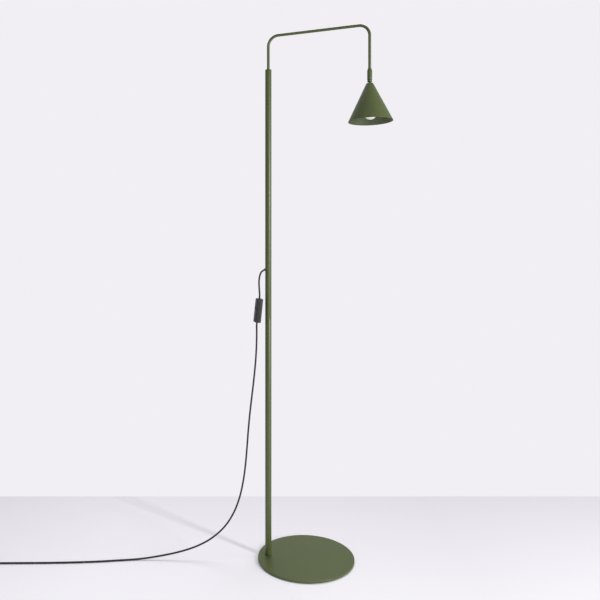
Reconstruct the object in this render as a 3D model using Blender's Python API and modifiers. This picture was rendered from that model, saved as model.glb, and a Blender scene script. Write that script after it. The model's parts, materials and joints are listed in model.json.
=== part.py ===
"""Adjustable arm floor lamp: round base, two-piece pole, swivelling bent arm and a cone shade
on a small ball joint, with its mains cord, hand switch and plug.

Metres, +Z up.  The origin is the centre of the base's underside and +X runs from the pole to
the middle of the base.  Heights are heights above the floor, also inside the moving frames.
"""
import math

import bmesh
import bpy
from mathutils import Matrix, Vector

# ---------------------------------------------------------------- driving dimensions
GAP = 0.0003                       # between pieces that touch
RUNNING_GAP = 0.0002               # between the ball and its seat
CUT_BEYOND = 0.001                 # how far a cutter passes the face it cuts

BASE_DIAMETER = 0.274
PLATE_THICKNESS = 0.005
PLATE_ROUND = 0.0010
PAD_THICKNESS = 0.0012
PAD_INSET = 0.003
PAD_OPENING_MARGIN = 0.003         # round the foot screw's head
POLE_FROM_EDGE = 0.029             # pole axis to the rim of the base

POLE_DIAMETER = 0.018
POLE_WALL = 0.0015
LOWER_POLE_LENGTH = 0.677
UPPER_POLE_LENGTH = 0.7142
JOINER_LENGTH = 0.060
JOINER_WALL = 0.0025
FOOT_PLUG_LENGTH = 0.025
FOOT_SCREW_DIAMETER = 0.008
FOOT_SCREW_HEAD_DIAMETER = 0.0152
FOOT_SCREW_HEAD_HEIGHT = 0.004
FOOT_SCREW_SOCKET_DIAMETER = 0.0058
FOOT_SCREW_SOCKET_DEPTH = 0.0025
FOOT_SCREW_SHORT = 0.003           # the screw stops this far below its plug's top
POLE_EDGE_ROUND = 0.0003
CAP_FLANGE = 0.0018
CAP_SPIGOT = 0.016
CAP_ROUND = 0.0014

ARM_DIAMETER = 0.008
ARM_WALL = 0.001
ARM_RISE = 0.096                   # top of the pole to the arm's centre line
ARM_REACH = 0.2907                 # pole axis to shade axis
ARM_BEND_RADIUS = 0.030
ARM_ANGLE = math.radians(-13.6)    # where the arm stands, from +X
WASHER_THICKNESS = 0.002
BUSH_FLOOR = 0.003
BUSH_BEARING = 0.012
BUSH_RECESS = 0.009
BUSH_RIM = 0.0008
STOP_PIN_DIAMETER = 0.0015
STOP_PIN_INSIDE = 0.0004           # how far the pin reaches into the arm's bore
STOP_RIB_WIDTH = 0.0012
STOP_RIB_CLEARANCE = 0.0008        # between the rib and the arm
STOP_RIB_OVERLAP = 0.0005          # how far the rib sinks into the recess floor
STOP_RIB_DROP = 0.0002             # the rib's top below the bush's top
STOP_ANGLE = math.pi               # the stop rib's place round the pole

SLEEVE_DIAMETER = 0.0134
SLEEVE_WALL = 0.0011
SLEEVE_LENGTH = 0.0320
SLEEVE_TAPER = 0.0062
RING_BELOW_BALL = 0.0035
RING_ABOVE_BALL = 0.0012
RING_ROUND = 0.0012
RING_LIP = 0.54                    # the ring holds the ball to this share of its radius, below its centre
RING_MOUTH_MARGIN = 0.0007
SLEEVE_TOP_LIP = 0.0009            # the sleeve's top edge stands this far out from the arm
SLEEVE_TAPER_MIDDLE = (0.35, 0.6)  # shares of the taper's width and height at its middle point
SHOULDER_DROP = 0.0135             # top of the sleeve to the shoulder that hangs on the arm's end ring
END_RING_HEIGHT = 0.0042
ARM_BEYOND_RING = 0.0005
SEAT_START = 0.42                  # the seat begins at this share of the ball's radius, above its centre
SEAT_ABOVE_BALL = 0.0028
SEAT_HOLE_MARGIN = 0.0004          # round the stud's bore
SPRING_WIRE = 0.0009
SPRING_TURNS = 3
SLEEVE_TOP_DROP = 0.1200           # arm's centre line to the top of the sleeve
BALL_DIAMETER = 0.0104
BALL_ABOVE_SHADE = 0.0070
NECK_DIAMETER = 0.0054
SHOULDER_DIAMETER = 0.0072
SHOULDER_HEIGHT = 0.0008
STUD_DIAMETER = 0.005
STUD_BORE = 0.0034
STUD_END_CLEARANCE = 0.0015        # between the stud's end and the contact block

SHADE_TOP_DIAMETER = 0.0182
SHADE_RIM_DIAMETER = 0.1216
SHADE_HEIGHT = 0.1035
SHADE_SHEET = 0.0008
SHADE_ROUND = 0.0014
SHADE_LEAN_OUT = math.radians(1.05)     # the shade hangs a little off plumb: along the arm
SHADE_LEAN_SIDE = math.radians(1.0)     # and across it

HOLDER_DIAMETER = 0.026
HOLDER_WALL = 0.0015
HOLDER_DROP = 0.0075               # shade top to the top of the lampholder
HOLDER_CAP_HEIGHT = 0.012
HOLDER_SKIRT_HEIGHT = 0.0262
HOLDER_CAP_TOP_DIAMETER = 0.014
HOLDER_CAP_SHOULDER = 0.55         # share of the cap's height at its shoulder, from the top
HOLDER_CROWN_ROUND = 0.0015
HOLDER_SHOULDER_ROUND = 0.003
HOLDER_SKIRT_ROUND = 0.001
HOLDER_LIP_HEIGHT = 0.0014
HOLDER_LIP_MARGIN = 0.0004         # between the skirt's lip and the bulb's neck
NUT_WIDTH = 0.008
NUT_THICKNESS = 0.0035
CONTACT_BLOCK_HEIGHT = 0.003
SCREW_SHELL_SHEET = 0.0004
SCREW_SHELL_LENGTH = 0.022
CENTRE_CONTACT_SIZE = (0.009, 0.0035, 0.0010)

BULB_DIAMETER = 0.040
BULB_LENGTH = 0.077
BULB_CAP_DIAMETER = 0.0138
BULB_CAP_LENGTH = 0.0237
BULB_NECK_DIAMETER = 0.016
BULB_GLASS = 0.0008
BULB_NECK_LEAVES = math.radians(52.0)   # where the neck leaves the globe, above its equator
BULB_NECK_STRAIGHT = 0.002
BULB_CONTACT_DIAMETER = 0.0044
BULB_CONTACT_HEIGHT = 0.0010
BULB_CAP_SHOULDER_HEIGHT = 0.003
BULB_CAP_TOP_SHARE = 0.55          # the cap's flat top, as a share of its width
BULB_BELOW_BLOCK = 0.0020

LEAD_DIAMETER = 0.003
LEAD_INTO_BALL = 0.8               # the shade's lead starts at this share of the ball's radius
CORD_DIAMETER = 0.005
LEAD_STRAIGHT = 0.0020             # the lead leaves the relief straight for this far
LEAD_BEND = ((-0.0030, 0.0045), (-0.0035, 0.0090), (-0.0020, 0.0170), (0.0, 0.0260))  # across, up
LEAD_SPACING = 0.003               # between points along the lead and the cord
CORD_SPACING = 0.010
LONG_CORD_SPACING = 0.0205
EXIT_ABOVE_JOINT = 0.1435          # pole joint to the cord's hole
EXIT_ANGLE = math.radians(216.0)   # round the pole, from +X
EXIT_SLOPE = math.radians(28.0)    # how steeply the cord leaves, downwards
RELIEF_OUTSIDE = 0.011
RELIEF_INSIDE = 0.0095
RELIEF_ROOT_DIAMETER = 0.0066
RELIEF_TIP_DIAMETER = 0.0056
RELIEF_COLLAR = 0.001              # straight length of the relief outside the pole
CORD_CLAMP_HEIGHT = 0.010
CORD_CLAMP_RISE = 0.028

SWITCH_CENTRE = (-0.0272, -0.0193, 0.7100)
SWITCH_ANGLE = math.radians(198.0)  # way the rocker faces
SWITCH_LEAN = math.radians(-6.2)
SWITCH_LENGTH = 0.068
SWITCH_WIDTH = 0.028
SWITCH_DEPTH = 0.017
SWITCH_WALL = 0.0016
ROCKER_LENGTH = 0.017
ROCKER_WIDTH = 0.010
ROCKER_PROUD = 0.0014
ROCKER_SWING = math.radians(7.0)   # each way from level
ROCKER_PIN_DIAMETER = 0.002
ROCKER_PIN_DEPTH = 0.0050          # the pin below the switch's face
ROCKER_HUB_WALL = 0.0016
ROCKER_EDGE_ROUND = 0.0003
ROCKER_DIP = 0.0011                # the hollow between the rocker's two ends
ROCKER_END_TAPER = 0.0006
ROCKER_SKIRT = 0.0012              # the rocker's ends reach down to this height over the pin
ROCKER_HUB_LEVEL = -0.0004
ROCKER_CLEARANCE = 0.0011
CHEEK_THICKNESS = 0.0016
CHEEK_WIDTH = 0.006
CHEEK_BEYOND_PIN = 0.0020
WINDOW_DEPTH = 0.008
WINDOW_MARGIN = 0.0005             # each side of the rocker
FACE_SKIN = 0.0005                 # cheeks and posts start this far inside the switch's face
SWITCH_SCREW_DIAMETER = 0.0024
SWITCH_SCREW_LENGTH = 0.0115
SWITCH_SCREW_HEAD_HEIGHT = 0.0007
SWITCH_SCREW_HEAD_RATIO = 1.7      # head to shank
SWITCH_SCREW_IN = (0.0052, 0.0060) # from the switch's side and from its end
SCREW_POST_WALL = 0.0014
SCREW_HOLE_FLOOR = 0.0022          # left over each screw hole, under the switch's face
SWITCH_EDGE_ROUND = 0.0022
CORD_CLAMP_SIZE = (0.003, 0.008, 0.005)
CORD_CLAMP_PLACE = (0.0020, 0.0015, 0.003)
TERMINAL_SIZE = (0.0045, 0.0050, 0.0090)
TERMINAL_PLACE = (-0.0035, 0.0045, 0.0165)
TERMINAL_ROUND = 0.0004
BRIDGE_SIZE = (0.0006, 0.0050, 0.0150)
BRIDGE_DEPTH = -0.0010

COIL_CENTRE = (-0.8050, -0.0980)
COIL_MIDDLE_DIAMETER = 0.056
COIL_SECTION = 0.0105
COIL_LIFT = 0.0012                 # the tie passes under the coil
COIL_CORNER_ROUND = 0.0018
TIE_CLEARANCE = 0.0005             # each side of the coil's section
TIE_WIDTH = 0.006
TIE_THICKNESS = 0.0008
COIL_TURN = math.radians(6.0)      # the coil's tie and the plug are turned this far round

PLUG_LENGTH = 0.036
PLUG_WIDTH = 0.0352
PLUG_HEIGHT = 0.0137
PLUG_REAR_WIDTH = 0.009
PLUG_CENTRE_HEIGHT = 0.0070
PLUG_PIN_DIAMETER = 0.004
PLUG_PIN_LENGTH = 0.019
PLUG_PIN_SPACING = 0.0186
PLUG_PIN_EMBEDDED = 0.008
PLUG_EDGE_ROUND = 0.0022
PLUG_PIN_ROUND = 0.0010
PLUG_REAR_SHARE = 0.25             # share of its length where the plug starts to widen
PLUG_REAR_FLARE = 0.001
PLUG_SIDE = ((0.62, 0.74), (0.86, 1.0))     # shares of its length and half width

# Places of the cord, the switch, the coil and the plug are measured from the pole's axis.  The cord
# runs from the strain relief to the switch, over the floor to the coil, and on to the plug.
UPPER_ROUTE = [
    (-0.0177, -0.0129, 0.8207),
    (-0.0200, -0.0145, 0.8173),
    (-0.0219, -0.0156, 0.8125),
    (-0.0234, -0.0165, 0.8069),
    (-0.0245, -0.0172, 0.8006),
    (-0.0251, -0.0178, 0.7927),
    (-0.0250, -0.0181, 0.7840),
    (-0.0245, -0.0182, 0.7740),
    (-0.0239, -0.0182, 0.7640),
    (-0.0233, -0.0181, 0.7550),
]
LOWER_ROUTE = [
    (-0.0316, -0.0207, 0.6660),
    (-0.0314, -0.0206, 0.6500),
    (-0.0318, -0.0203, 0.6200),
    (-0.0333, -0.0202, 0.5850),
    (-0.0360, -0.0202, 0.5500),
    (-0.0403, -0.0207, 0.5080),
    (-0.0453, -0.0212, 0.4650),
    (-0.0505, -0.0218, 0.4200),
    (-0.0549, -0.0223, 0.3740),
    (-0.0584, -0.0226, 0.3280),
    (-0.0622, -0.0230, 0.2820),
    (-0.0676, -0.0236, 0.2370),
    (-0.0755, -0.0244, 0.1950),
    (-0.0850, -0.0254, 0.1620),
    (-0.0982, -0.0268, 0.1310),
    (-0.1170, -0.0288, 0.1010),
    (-0.1400, -0.0311, 0.0765),
    (-0.1700, -0.0343, 0.0542),
    (-0.2080, -0.0383, 0.0359),
    (-0.2520, -0.0430, 0.0220),
    (-0.2980, -0.0482, 0.0122),
    (-0.3420, -0.0544, 0.0056),
    (-0.3780, -0.0608, 0.0029),
    (-0.4220, -0.0704, 0.0026),
    (-0.4740, -0.0822, 0.0026),
    (-0.5400, -0.0940, 0.0026),
    (-0.6060, -0.1036, 0.0026),
    (-0.6730, -0.1118, 0.0026),
    (-0.7400, -0.1196, 0.0026),
    (-0.7660, -0.1236, 0.0029),
    (-0.7835, -0.1265, 0.0035),
]
END_ROUTE = [
    (-0.8373, -0.0831, 0.0090),
    (-0.8383, -0.0735, 0.0086),
    (-0.8393, -0.0635, 0.0080),
    (-0.8404, -0.0535, 0.0074),
    (-0.8414, -0.0440, 0.0070),
]
PLUG_REAR = (-0.84143, -0.0437)

# ---------------------------------------------------------------- sizes that follow from them
BASE_RADIUS = BASE_DIAMETER / 2
POLE_X = -(BASE_RADIUS - POLE_FROM_EDGE)
POLE_RADIUS = POLE_DIAMETER / 2
POLE_BORE = POLE_RADIUS - POLE_WALL
INSERT_RADIUS = POLE_BORE - GAP    # whatever slides into the pole
PLATE_BOTTOM = PAD_THICKNESS + GAP
PLATE_TOP = PLATE_BOTTOM + PLATE_THICKNESS
POLE_BOTTOM = PLATE_TOP + GAP
JOINT_BOTTOM = POLE_BOTTOM + LOWER_POLE_LENGTH
JOINT_TOP = JOINT_BOTTOM + GAP
UPPER_POLE_TOP = JOINT_TOP + UPPER_POLE_LENGTH
CAP_BOTTOM = UPPER_POLE_TOP + GAP
POLE_TOP = CAP_BOTTOM + CAP_FLANGE

ARM_RADIUS = ARM_DIAMETER / 2
ARM_BORE = ARM_RADIUS - ARM_WALL
ARM_HOLE = ARM_RADIUS + GAP
SPIGOT_BOTTOM = CAP_BOTTOM - CAP_SPIGOT
BUSH_TOP = SPIGOT_BOTTOM - WASHER_THICKNESS - 2 * GAP
RECESS_BOTTOM = BUSH_TOP - BUSH_RECESS
BEARING_BOTTOM = RECESS_BOTTOM - BUSH_BEARING
ARM_BOTTOM = BEARING_BOTTOM + GAP
ARM_LEVEL = POLE_TOP + ARM_RISE
RECESS_RADIUS = INSERT_RADIUS - BUSH_RIM

SLEEVE_RADIUS = SLEEVE_DIAMETER / 2
SLEEVE_BORE = SLEEVE_RADIUS - SLEEVE_WALL
SLEEVE_TOP = ARM_LEVEL - SLEEVE_TOP_DROP
BALL_RADIUS = BALL_DIAMETER / 2
SEAT_RADIUS = BALL_RADIUS + RUNNING_GAP
RING_TOP_GAP = GAP
BALL_LEVEL = SLEEVE_TOP - SLEEVE_LENGTH - RING_ABOVE_BALL - RING_TOP_GAP
RING_BOTTOM = BALL_LEVEL - RING_BELOW_BALL
RING_TOP = BALL_LEVEL + RING_ABOVE_BALL
SLEEVE_BOTTOM = RING_TOP + RING_TOP_GAP
SEAT_BOTTOM = BALL_LEVEL + SEAT_START * BALL_RADIUS
SEAT_TOP = BALL_LEVEL + BALL_RADIUS + SEAT_ABOVE_BALL
SHOULDER_LEVEL = SLEEVE_TOP - SHOULDER_DROP
ARM_END = SHOULDER_LEVEL - GAP - END_RING_HEIGHT - ARM_BEYOND_RING

SHADE_TOP = BALL_LEVEL - BALL_ABOVE_SHADE
SHADE_RIM = SHADE_TOP - SHADE_HEIGHT
SHADE_SLOPE = math.atan2((SHADE_RIM_DIAMETER - SHADE_TOP_DIAMETER) / 2, SHADE_HEIGHT)
STUD_RADIUS = STUD_DIAMETER / 2
STUD_HOLE = STUD_RADIUS + GAP
HOLDER_TOP = SHADE_TOP - HOLDER_DROP
HOLDER_RADIUS = HOLDER_DIAMETER / 2
CAP_EDGE = HOLDER_TOP - HOLDER_CAP_HEIGHT
SKIRT_TOP = CAP_EDGE - GAP
SKIRT_BOTTOM = SKIRT_TOP - HOLDER_SKIRT_HEIGHT
BLOCK_BOTTOM = CAP_EDGE
BLOCK_TOP = BLOCK_BOTTOM + CONTACT_BLOCK_HEIGHT
STUD_BOTTOM = BLOCK_TOP + STUD_END_CLEARANCE
SHELL_TOP = BLOCK_BOTTOM - GAP
BULB_TOP = BLOCK_BOTTOM - BULB_BELOW_BLOCK
BULB_BOTTOM = BULB_TOP - BULB_LENGTH
BULB_CAP_TOP = BULB_TOP - BULB_CONTACT_HEIGHT
BULB_CAP_BOTTOM = BULB_CAP_TOP - BULB_CAP_LENGTH
BULB_CENTRE = BULB_BOTTOM + BULB_DIAMETER / 2

CORD_EXIT = JOINT_TOP + EXIT_ABOVE_JOINT        # on the pole's outside
RELIEF_AXIS_LEVEL = CORD_EXIT + POLE_RADIUS * math.tan(EXIT_SLOPE)
EXIT_DIRECTION = Vector((
    math.cos(EXIT_ANGLE) * math.cos(EXIT_SLOPE),
    math.sin(EXIT_ANGLE) * math.cos(EXIT_SLOPE),
    -math.sin(EXIT_SLOPE),
))
RELIEF_ROOT = POLE_RADIUS / math.cos(EXIT_SLOPE)     # along the cord, from the pole's axis
RELIEF_TIP = RELIEF_ROOT + RELIEF_OUTSIDE
COIL_BACK = Vector((-math.sin(COIL_TURN), math.cos(COIL_TURN), 0.0))
ROCKER_HINGE = SWITCH_DEPTH / 2 - ROCKER_PIN_DEPTH      # pin to the switch's middle plane

# ---------------------------------------------------------------- materials: colour, roughness, metallic
FINISHES = {
    "green_powder_coat": ((0.074, 0.098, 0.029), 0.33, 0.0),
    "black_foam": ((0.02, 0.02, 0.02), 0.95, 0.0),
    "zinc_steel": ((0.60, 0.60, 0.62), 0.35, 1.0),
    "natural_nylon": ((0.82, 0.80, 0.74), 0.45, 0.0),
    "black_plastic": ((0.030, 0.030, 0.032), 0.40, 0.0),
    "black_cord": ((0.022, 0.022, 0.024), 0.50, 0.0),
    "black_rocker": ((0.045, 0.045, 0.048), 0.30, 0.0),
    "brass": ((0.78, 0.60, 0.30), 0.30, 1.0),
    "nickel": ((0.72, 0.70, 0.66), 0.28, 1.0),
    "white_plastic": ((0.85, 0.85, 0.83), 0.40, 0.0),
    "opal_glass": ((0.93, 0.93, 0.91), 0.25, 0.0),
}


def make_materials():
    for name, (colour, roughness, metallic) in FINISHES.items():
        material = bpy.data.materials.new(name)
        material.use_nodes = True
        shader = material.node_tree.nodes["Principled BSDF"]
        shader.inputs["Base Color"].default_value = (*colour, 1.0)
        shader.inputs["Roughness"].default_value = roughness
        shader.inputs["Metallic"].default_value = metallic


# ---------------------------------------------------------------- collections and frames
def clear_scene():
    for thing in list(bpy.data.objects):
        bpy.data.objects.remove(thing, do_unlink=True)


def new_collection(name):
    collection = bpy.data.collections.new(name)
    bpy.context.scene.collection.children.link(collection)
    return collection


def frame(name, location, rotation=(0.0, 0.0, 0.0), parent=None):
    """An empty that carries pieces: it stands on their joint's axis."""
    empty = bpy.data.objects.new(name, None)
    empty.empty_display_size = 0.02
    empty.location = location
    empty.rotation_euler = rotation
    empty.parent = parent
    PARTS.objects.link(empty)
    return empty


def add_part(name, data, finish, parent=None, location=(0.0, 0.0, 0.0), rotation=(0.0, 0.0, 0.0)):
    part = bpy.data.objects.new(name, data)
    part.location = location
    part.rotation_euler = rotation
    part.parent = parent
    data.materials.append(bpy.data.materials[finish])
    PARTS.objects.link(part)
    return part


def add_cutter(name, data, parent=None, location=(0.0, 0.0, 0.0), rotation=(0.0, 0.0, 0.0)):
    cutter = bpy.data.objects.new(name, data)
    cutter.location = location
    cutter.rotation_euler = rotation
    cutter.parent = parent
    cutter.hide_render = True
    cutter.display_type = "WIRE"
    CUTTERS.objects.link(cutter)
    return cutter


def boolean(part, other, operation="DIFFERENCE"):
    modifier = part.modifiers.new(other.name, "BOOLEAN")
    modifier.operation = operation
    modifier.object = other
    modifier.solver = "EXACT"


def bevel(part, width, segments=2, angle=40.0):
    modifier = part.modifiers.new("rounded_edges", "BEVEL")
    modifier.width = width
    modifier.segments = segments
    modifier.limit_method = "ANGLE"
    modifier.angle_limit = math.radians(angle)


# ---------------------------------------------------------------- basic shapes
def outline_mesh(name, outline):
    """Edges through (radius, height) points: open if both ends lie on the axis, else closed."""
    mesh = bpy.data.meshes.new(name)
    builder = bmesh.new()
    points = [builder.verts.new((radius, 0.0, height)) for radius, height in outline]
    for first, second in zip(points, points[1:]):
        builder.edges.new((first, second))
    if outline[0][0] > 0.0:
        builder.edges.new((points[-1], points[0]))
    builder.to_mesh(mesh)
    builder.free()
    return mesh


def screw(thing, steps):
    modifier = thing.modifiers.new("turned", "SCREW")
    modifier.axis = "Z"
    modifier.angle = math.tau
    modifier.steps = steps
    modifier.render_steps = steps
    modifier.use_merge_vertices = True
    modifier.merge_threshold = 0.00001
    modifier.use_smooth_shade = True
    return thing


def turned(
    name, outline, finish, parent=None, location=(0.0, 0.0, 0.0), rotation=(0.0, 0.0, 0.0), steps=20,
):
    part = add_part(name, outline_mesh(name, outline), finish, parent, location, rotation)
    return screw(part, steps)


def turned_cutter(name, outline, parent=None, location=(0.0, 0.0, 0.0), rotation=(0.0, 0.0, 0.0), steps=20):
    cutter = add_cutter(name, outline_mesh(name, outline), parent, location, rotation)
    return screw(cutter, steps)


def disc(radius, bottom, top):
    return [(0.0, top), (radius, top), (radius, bottom), (0.0, bottom)]


def sleeve(inner, outer, bottom, top):
    return [(outer, top), (outer, bottom), (inner, bottom), (inner, top)]


def rounded(outline, radii, pieces=4):
    """The outline with an arc at each listed corner: radii maps a point's index to its radius."""
    result = []
    count = len(outline)
    for index, corner in enumerate(outline):
        radius = radii.get(index, 0.0)
        if radius <= 0.0:
            result.append(corner)
            continue
        here = Vector(corner)
        before = (Vector(outline[index - 1]) - here).normalized()
        after = (Vector(outline[(index + 1) % count]) - here).normalized()
        half = before.angle(after) / 2
        centre = here + (before + after).normalized() * (radius / math.sin(half))
        start = here + before * (radius / math.tan(half)) - centre
        end = here + after * (radius / math.tan(half)) - centre
        sweep = start.angle_signed(end)
        for step in range(pieces + 1):
            turn = Matrix.Rotation(-sweep * step / pieces, 2)
            result.append(tuple(centre + turn @ start))
    return result


def box_mesh(name, size, centre=(0.0, 0.0, 0.0)):
    mesh = bpy.data.meshes.new(name)
    builder = bmesh.new()
    bmesh.ops.create_cube(builder, size=1.0)
    bmesh.ops.scale(builder, vec=size, verts=builder.verts)
    bmesh.ops.translate(builder, vec=centre, verts=builder.verts)
    builder.to_mesh(mesh)
    builder.free()
    return mesh


def prism_mesh(name, radius, height, sides, centre=(0.0, 0.0, 0.0)):
    """An upright prism or cylinder; for a hexagon radius is to its corners."""
    mesh = bpy.data.meshes.new(name)
    builder = bmesh.new()
    bmesh.ops.create_cone(
        builder, cap_ends=True, segments=sides, radius1=radius, radius2=radius, depth=height)
    bmesh.ops.translate(builder, vec=centre, verts=builder.verts)
    builder.to_mesh(mesh)
    builder.free()
    return mesh


def pipe_curve(name, points, radius, resolution):
    curve = bpy.data.curves.new(name, "CURVE")
    curve.dimensions = "3D"
    curve.bevel_depth = radius
    curve.bevel_resolution = resolution
    curve.use_fill_caps = True
    spline = curve.splines.new("POLY")
    spline.points.add(len(points) - 1)
    for point, place in zip(spline.points, points):
        point.co = (*place, 1.0)
    return curve


def pipe(name, points, radius, finish, parent=None, resolution=2):
    return add_part(name, pipe_curve(name, points, radius, resolution), finish, parent)


def curve_to_mesh(thing):
    """Turn a curve object into a mesh object with welded caps, in the same place."""
    bpy.context.view_layer.update()
    evaluated = thing.evaluated_get(bpy.context.evaluated_depsgraph_get())
    mesh = bpy.data.meshes.new_from_object(evaluated)
    builder = bmesh.new()
    builder.from_mesh(mesh)
    bmesh.ops.remove_doubles(builder, verts=builder.verts, dist=0.000001)
    bmesh.ops.recalc_face_normals(builder, faces=builder.faces)
    builder.to_mesh(mesh)
    builder.free()
    name = thing.name
    home = thing.users_collection[0]
    solid = bpy.data.objects.new(name + "_solid", mesh)
    home.objects.link(solid)
    solid.parent = thing.parent
    solid.matrix_world = thing.matrix_world
    solid.hide_render = thing.hide_render
    solid.display_type = thing.display_type
    bpy.data.objects.remove(thing, do_unlink=True)
    solid.name = name
    return solid


def smooth_route(points, spacing):
    """Evenly spaced points on a smooth curve through the given ones."""
    given = [Vector(point) for point in points]
    given = [2 * given[0] - given[1]] + given + [2 * given[-1] - given[-2]]
    fine = []
    for before, start, end, after in zip(given, given[1:], given[2:], given[3:]):
        for step in range(24):
            t = step / 24
            fine.append(0.5 * (
                2 * start
                + (end - before) * t
                + (2 * before - 5 * start + 4 * end - after) * t ** 2
                + (3 * start - before - 3 * end + after) * t ** 3
            ))
    fine.append(given[-2])
    lengths = [0.0]
    for first, second in zip(fine, fine[1:]):
        lengths.append(lengths[-1] + (second - first).length)
    count = max(2, round(lengths[-1] / spacing))
    result = [fine[0]]
    index = 0
    for step in range(1, count):
        target = lengths[-1] * step / count
        while lengths[index + 1] < target:
            index += 1
        share = (target - lengths[index]) / (lengths[index + 1] - lengths[index])
        result.append(fine[index].lerp(fine[index + 1], share))
    result.append(fine[-1])
    return result


def arc_points(centre, start_angle, end_angle, radius, pieces=7):
    """Points of an arc in the XZ plane."""
    result = []
    for step in range(pieces + 1):
        angle = start_angle + (end_angle - start_angle) * step / pieces
        result.append((centre[0] + radius * math.cos(angle), 0.0, centre[1] + radius * math.sin(angle)))
    return result


# ---------------------------------------------------------------- base and pole
def build_base():
    plate = turned(
        "base_plate",
        rounded(disc(BASE_RADIUS, PLATE_BOTTOM, PLATE_TOP), {1: PLATE_ROUND}, 2),
        "green_powder_coat", steps=72,
    )
    head_radius = FOOT_SCREW_HEAD_DIAMETER / 2
    head_top = PLATE_BOTTOM + FOOT_SCREW_HEAD_HEIGHT
    shank = FOOT_SCREW_DIAMETER / 2
    above = PLATE_TOP + CUT_BEYOND
    below = PLATE_BOTTOM - CUT_BEYOND
    seat = [
        (0.0, above), (shank + GAP, above), (shank + GAP, head_top),
        (head_radius + GAP, PLATE_BOTTOM), (head_radius + GAP, below), (0.0, below),
    ]
    boolean(plate, turned_cutter("foot_screw_seat", seat, location=(POLE_X, 0.0, 0.0)))

    pad = turned("base_pad", disc(BASE_RADIUS - PAD_INSET, 0.0, PAD_THICKNESS), "black_foam", steps=48)
    opening = disc(head_radius + PAD_OPENING_MARGIN, -CUT_BEYOND, PAD_THICKNESS + CUT_BEYOND)
    boolean(pad, turned_cutter("pad_opening", opening, location=(POLE_X, 0.0, 0.0)))

    screw_top = POLE_BOTTOM + FOOT_PLUG_LENGTH - FOOT_SCREW_SHORT
    outline = [
        (0.0, screw_top), (shank, screw_top), (shank, head_top),
        (head_radius, PLATE_BOTTOM), (0.0, PLATE_BOTTOM),
    ]
    foot_screw = turned("foot_screw", outline, "zinc_steel", location=(POLE_X, 0.0, 0.0))
    socket_radius = FOOT_SCREW_SOCKET_DIAMETER / 2
    socket = prism_mesh("foot_screw_socket", socket_radius, 2 * FOOT_SCREW_SOCKET_DEPTH, 6)
    boolean(foot_screw, add_cutter("foot_screw_socket", socket, location=(POLE_X, 0.0, PLATE_BOTTOM)))

    plug = sleeve(shank + GAP, INSERT_RADIUS, POLE_BOTTOM, POLE_BOTTOM + FOOT_PLUG_LENGTH)
    turned("pole_foot_plug", plug, "zinc_steel", location=(POLE_X, 0.0, 0.0))


def build_pole():
    axis = (POLE_X, 0.0, 0.0)
    edge = {0: POLE_EDGE_ROUND, 1: POLE_EDGE_ROUND}
    lower = rounded(sleeve(POLE_BORE, POLE_RADIUS, POLE_BOTTOM, JOINT_BOTTOM), edge, 1)
    turned("lower_pole", lower, "green_powder_coat", location=axis)
    upper = rounded(sleeve(POLE_BORE, POLE_RADIUS, JOINT_TOP, UPPER_POLE_TOP), edge, 1)
    upper_pole = turned("upper_pole", upper, "green_powder_coat", location=axis)
    hole = disc(RELIEF_ROOT_DIAMETER / 2 + GAP, 0.0, POLE_DIAMETER)
    boolean(upper_pole, turned_cutter("cord_hole", hole, RELIEF))

    middle = (JOINT_BOTTOM + JOINT_TOP) / 2
    joiner = sleeve(
        INSERT_RADIUS - JOINER_WALL, INSERT_RADIUS, middle - JOINER_LENGTH / 2, middle + JOINER_LENGTH / 2,
    )
    turned("pole_joiner", joiner, "zinc_steel", location=axis)

    cap = rounded([
        (POLE_RADIUS, POLE_TOP), (POLE_RADIUS, CAP_BOTTOM), (INSERT_RADIUS, CAP_BOTTOM),
        (INSERT_RADIUS, SPIGOT_BOTTOM), (ARM_HOLE, SPIGOT_BOTTOM), (ARM_HOLE, POLE_TOP),
    ], {0: CAP_ROUND}, 2)
    turned("pole_cap", cap, "green_powder_coat", location=axis)
    washer_top = SPIGOT_BOTTOM - GAP
    washer = sleeve(ARM_HOLE, INSERT_RADIUS, washer_top - WASHER_THICKNESS, washer_top)
    turned("friction_washer", washer, "natural_nylon", location=axis)


def build_swivel_bush():
    floor_hole = LEAD_DIAMETER / 2 + GAP
    outline = [
        (INSERT_RADIUS, BUSH_TOP), (INSERT_RADIUS, BEARING_BOTTOM - BUSH_FLOOR),
        (floor_hole, BEARING_BOTTOM - BUSH_FLOOR), (floor_hole, BEARING_BOTTOM),
        (ARM_HOLE, BEARING_BOTTOM), (ARM_HOLE, RECESS_BOTTOM),
        (RECESS_RADIUS, RECESS_BOTTOM), (RECESS_RADIUS, BUSH_TOP),
    ]
    bush = turned("swivel_bush", outline, "natural_nylon", location=(POLE_X, 0.0, 0.0))
    rib_inner = ARM_RADIUS + STOP_RIB_CLEARANCE
    rib_outer = RECESS_RADIUS + BUSH_RIM / 2
    middle = (rib_inner + rib_outer) / 2
    rib_size = (rib_outer - rib_inner, STOP_RIB_WIDTH, BUSH_RECESS + STOP_RIB_OVERLAP)
    rib_mesh = box_mesh("stop_rib", rib_size, (middle, 0.0, 0.0))
    rib_height = BUSH_TOP - STOP_RIB_DROP - rib_size[2] / 2
    rib = add_cutter("stop_rib", rib_mesh, None, (POLE_X, 0.0, rib_height), (0.0, 0.0, STOP_ANGLE))
    boolean(bush, rib, "UNION")


# ---------------------------------------------------------------- arm
def arm_route(extra=0.0):
    """The arm's centre line in its own frame, from inside the pole to inside the sleeve."""
    radius = ARM_BEND_RADIUS
    rise = arc_points((radius, ARM_LEVEL - radius), math.pi, math.pi / 2, radius)
    drop = arc_points((ARM_REACH - radius, ARM_LEVEL - radius), math.pi / 2, 0.0, radius)
    return [(0.0, 0.0, ARM_BOTTOM - extra)] + rise + drop + [(ARM_REACH, 0.0, ARM_END - extra)]


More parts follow.
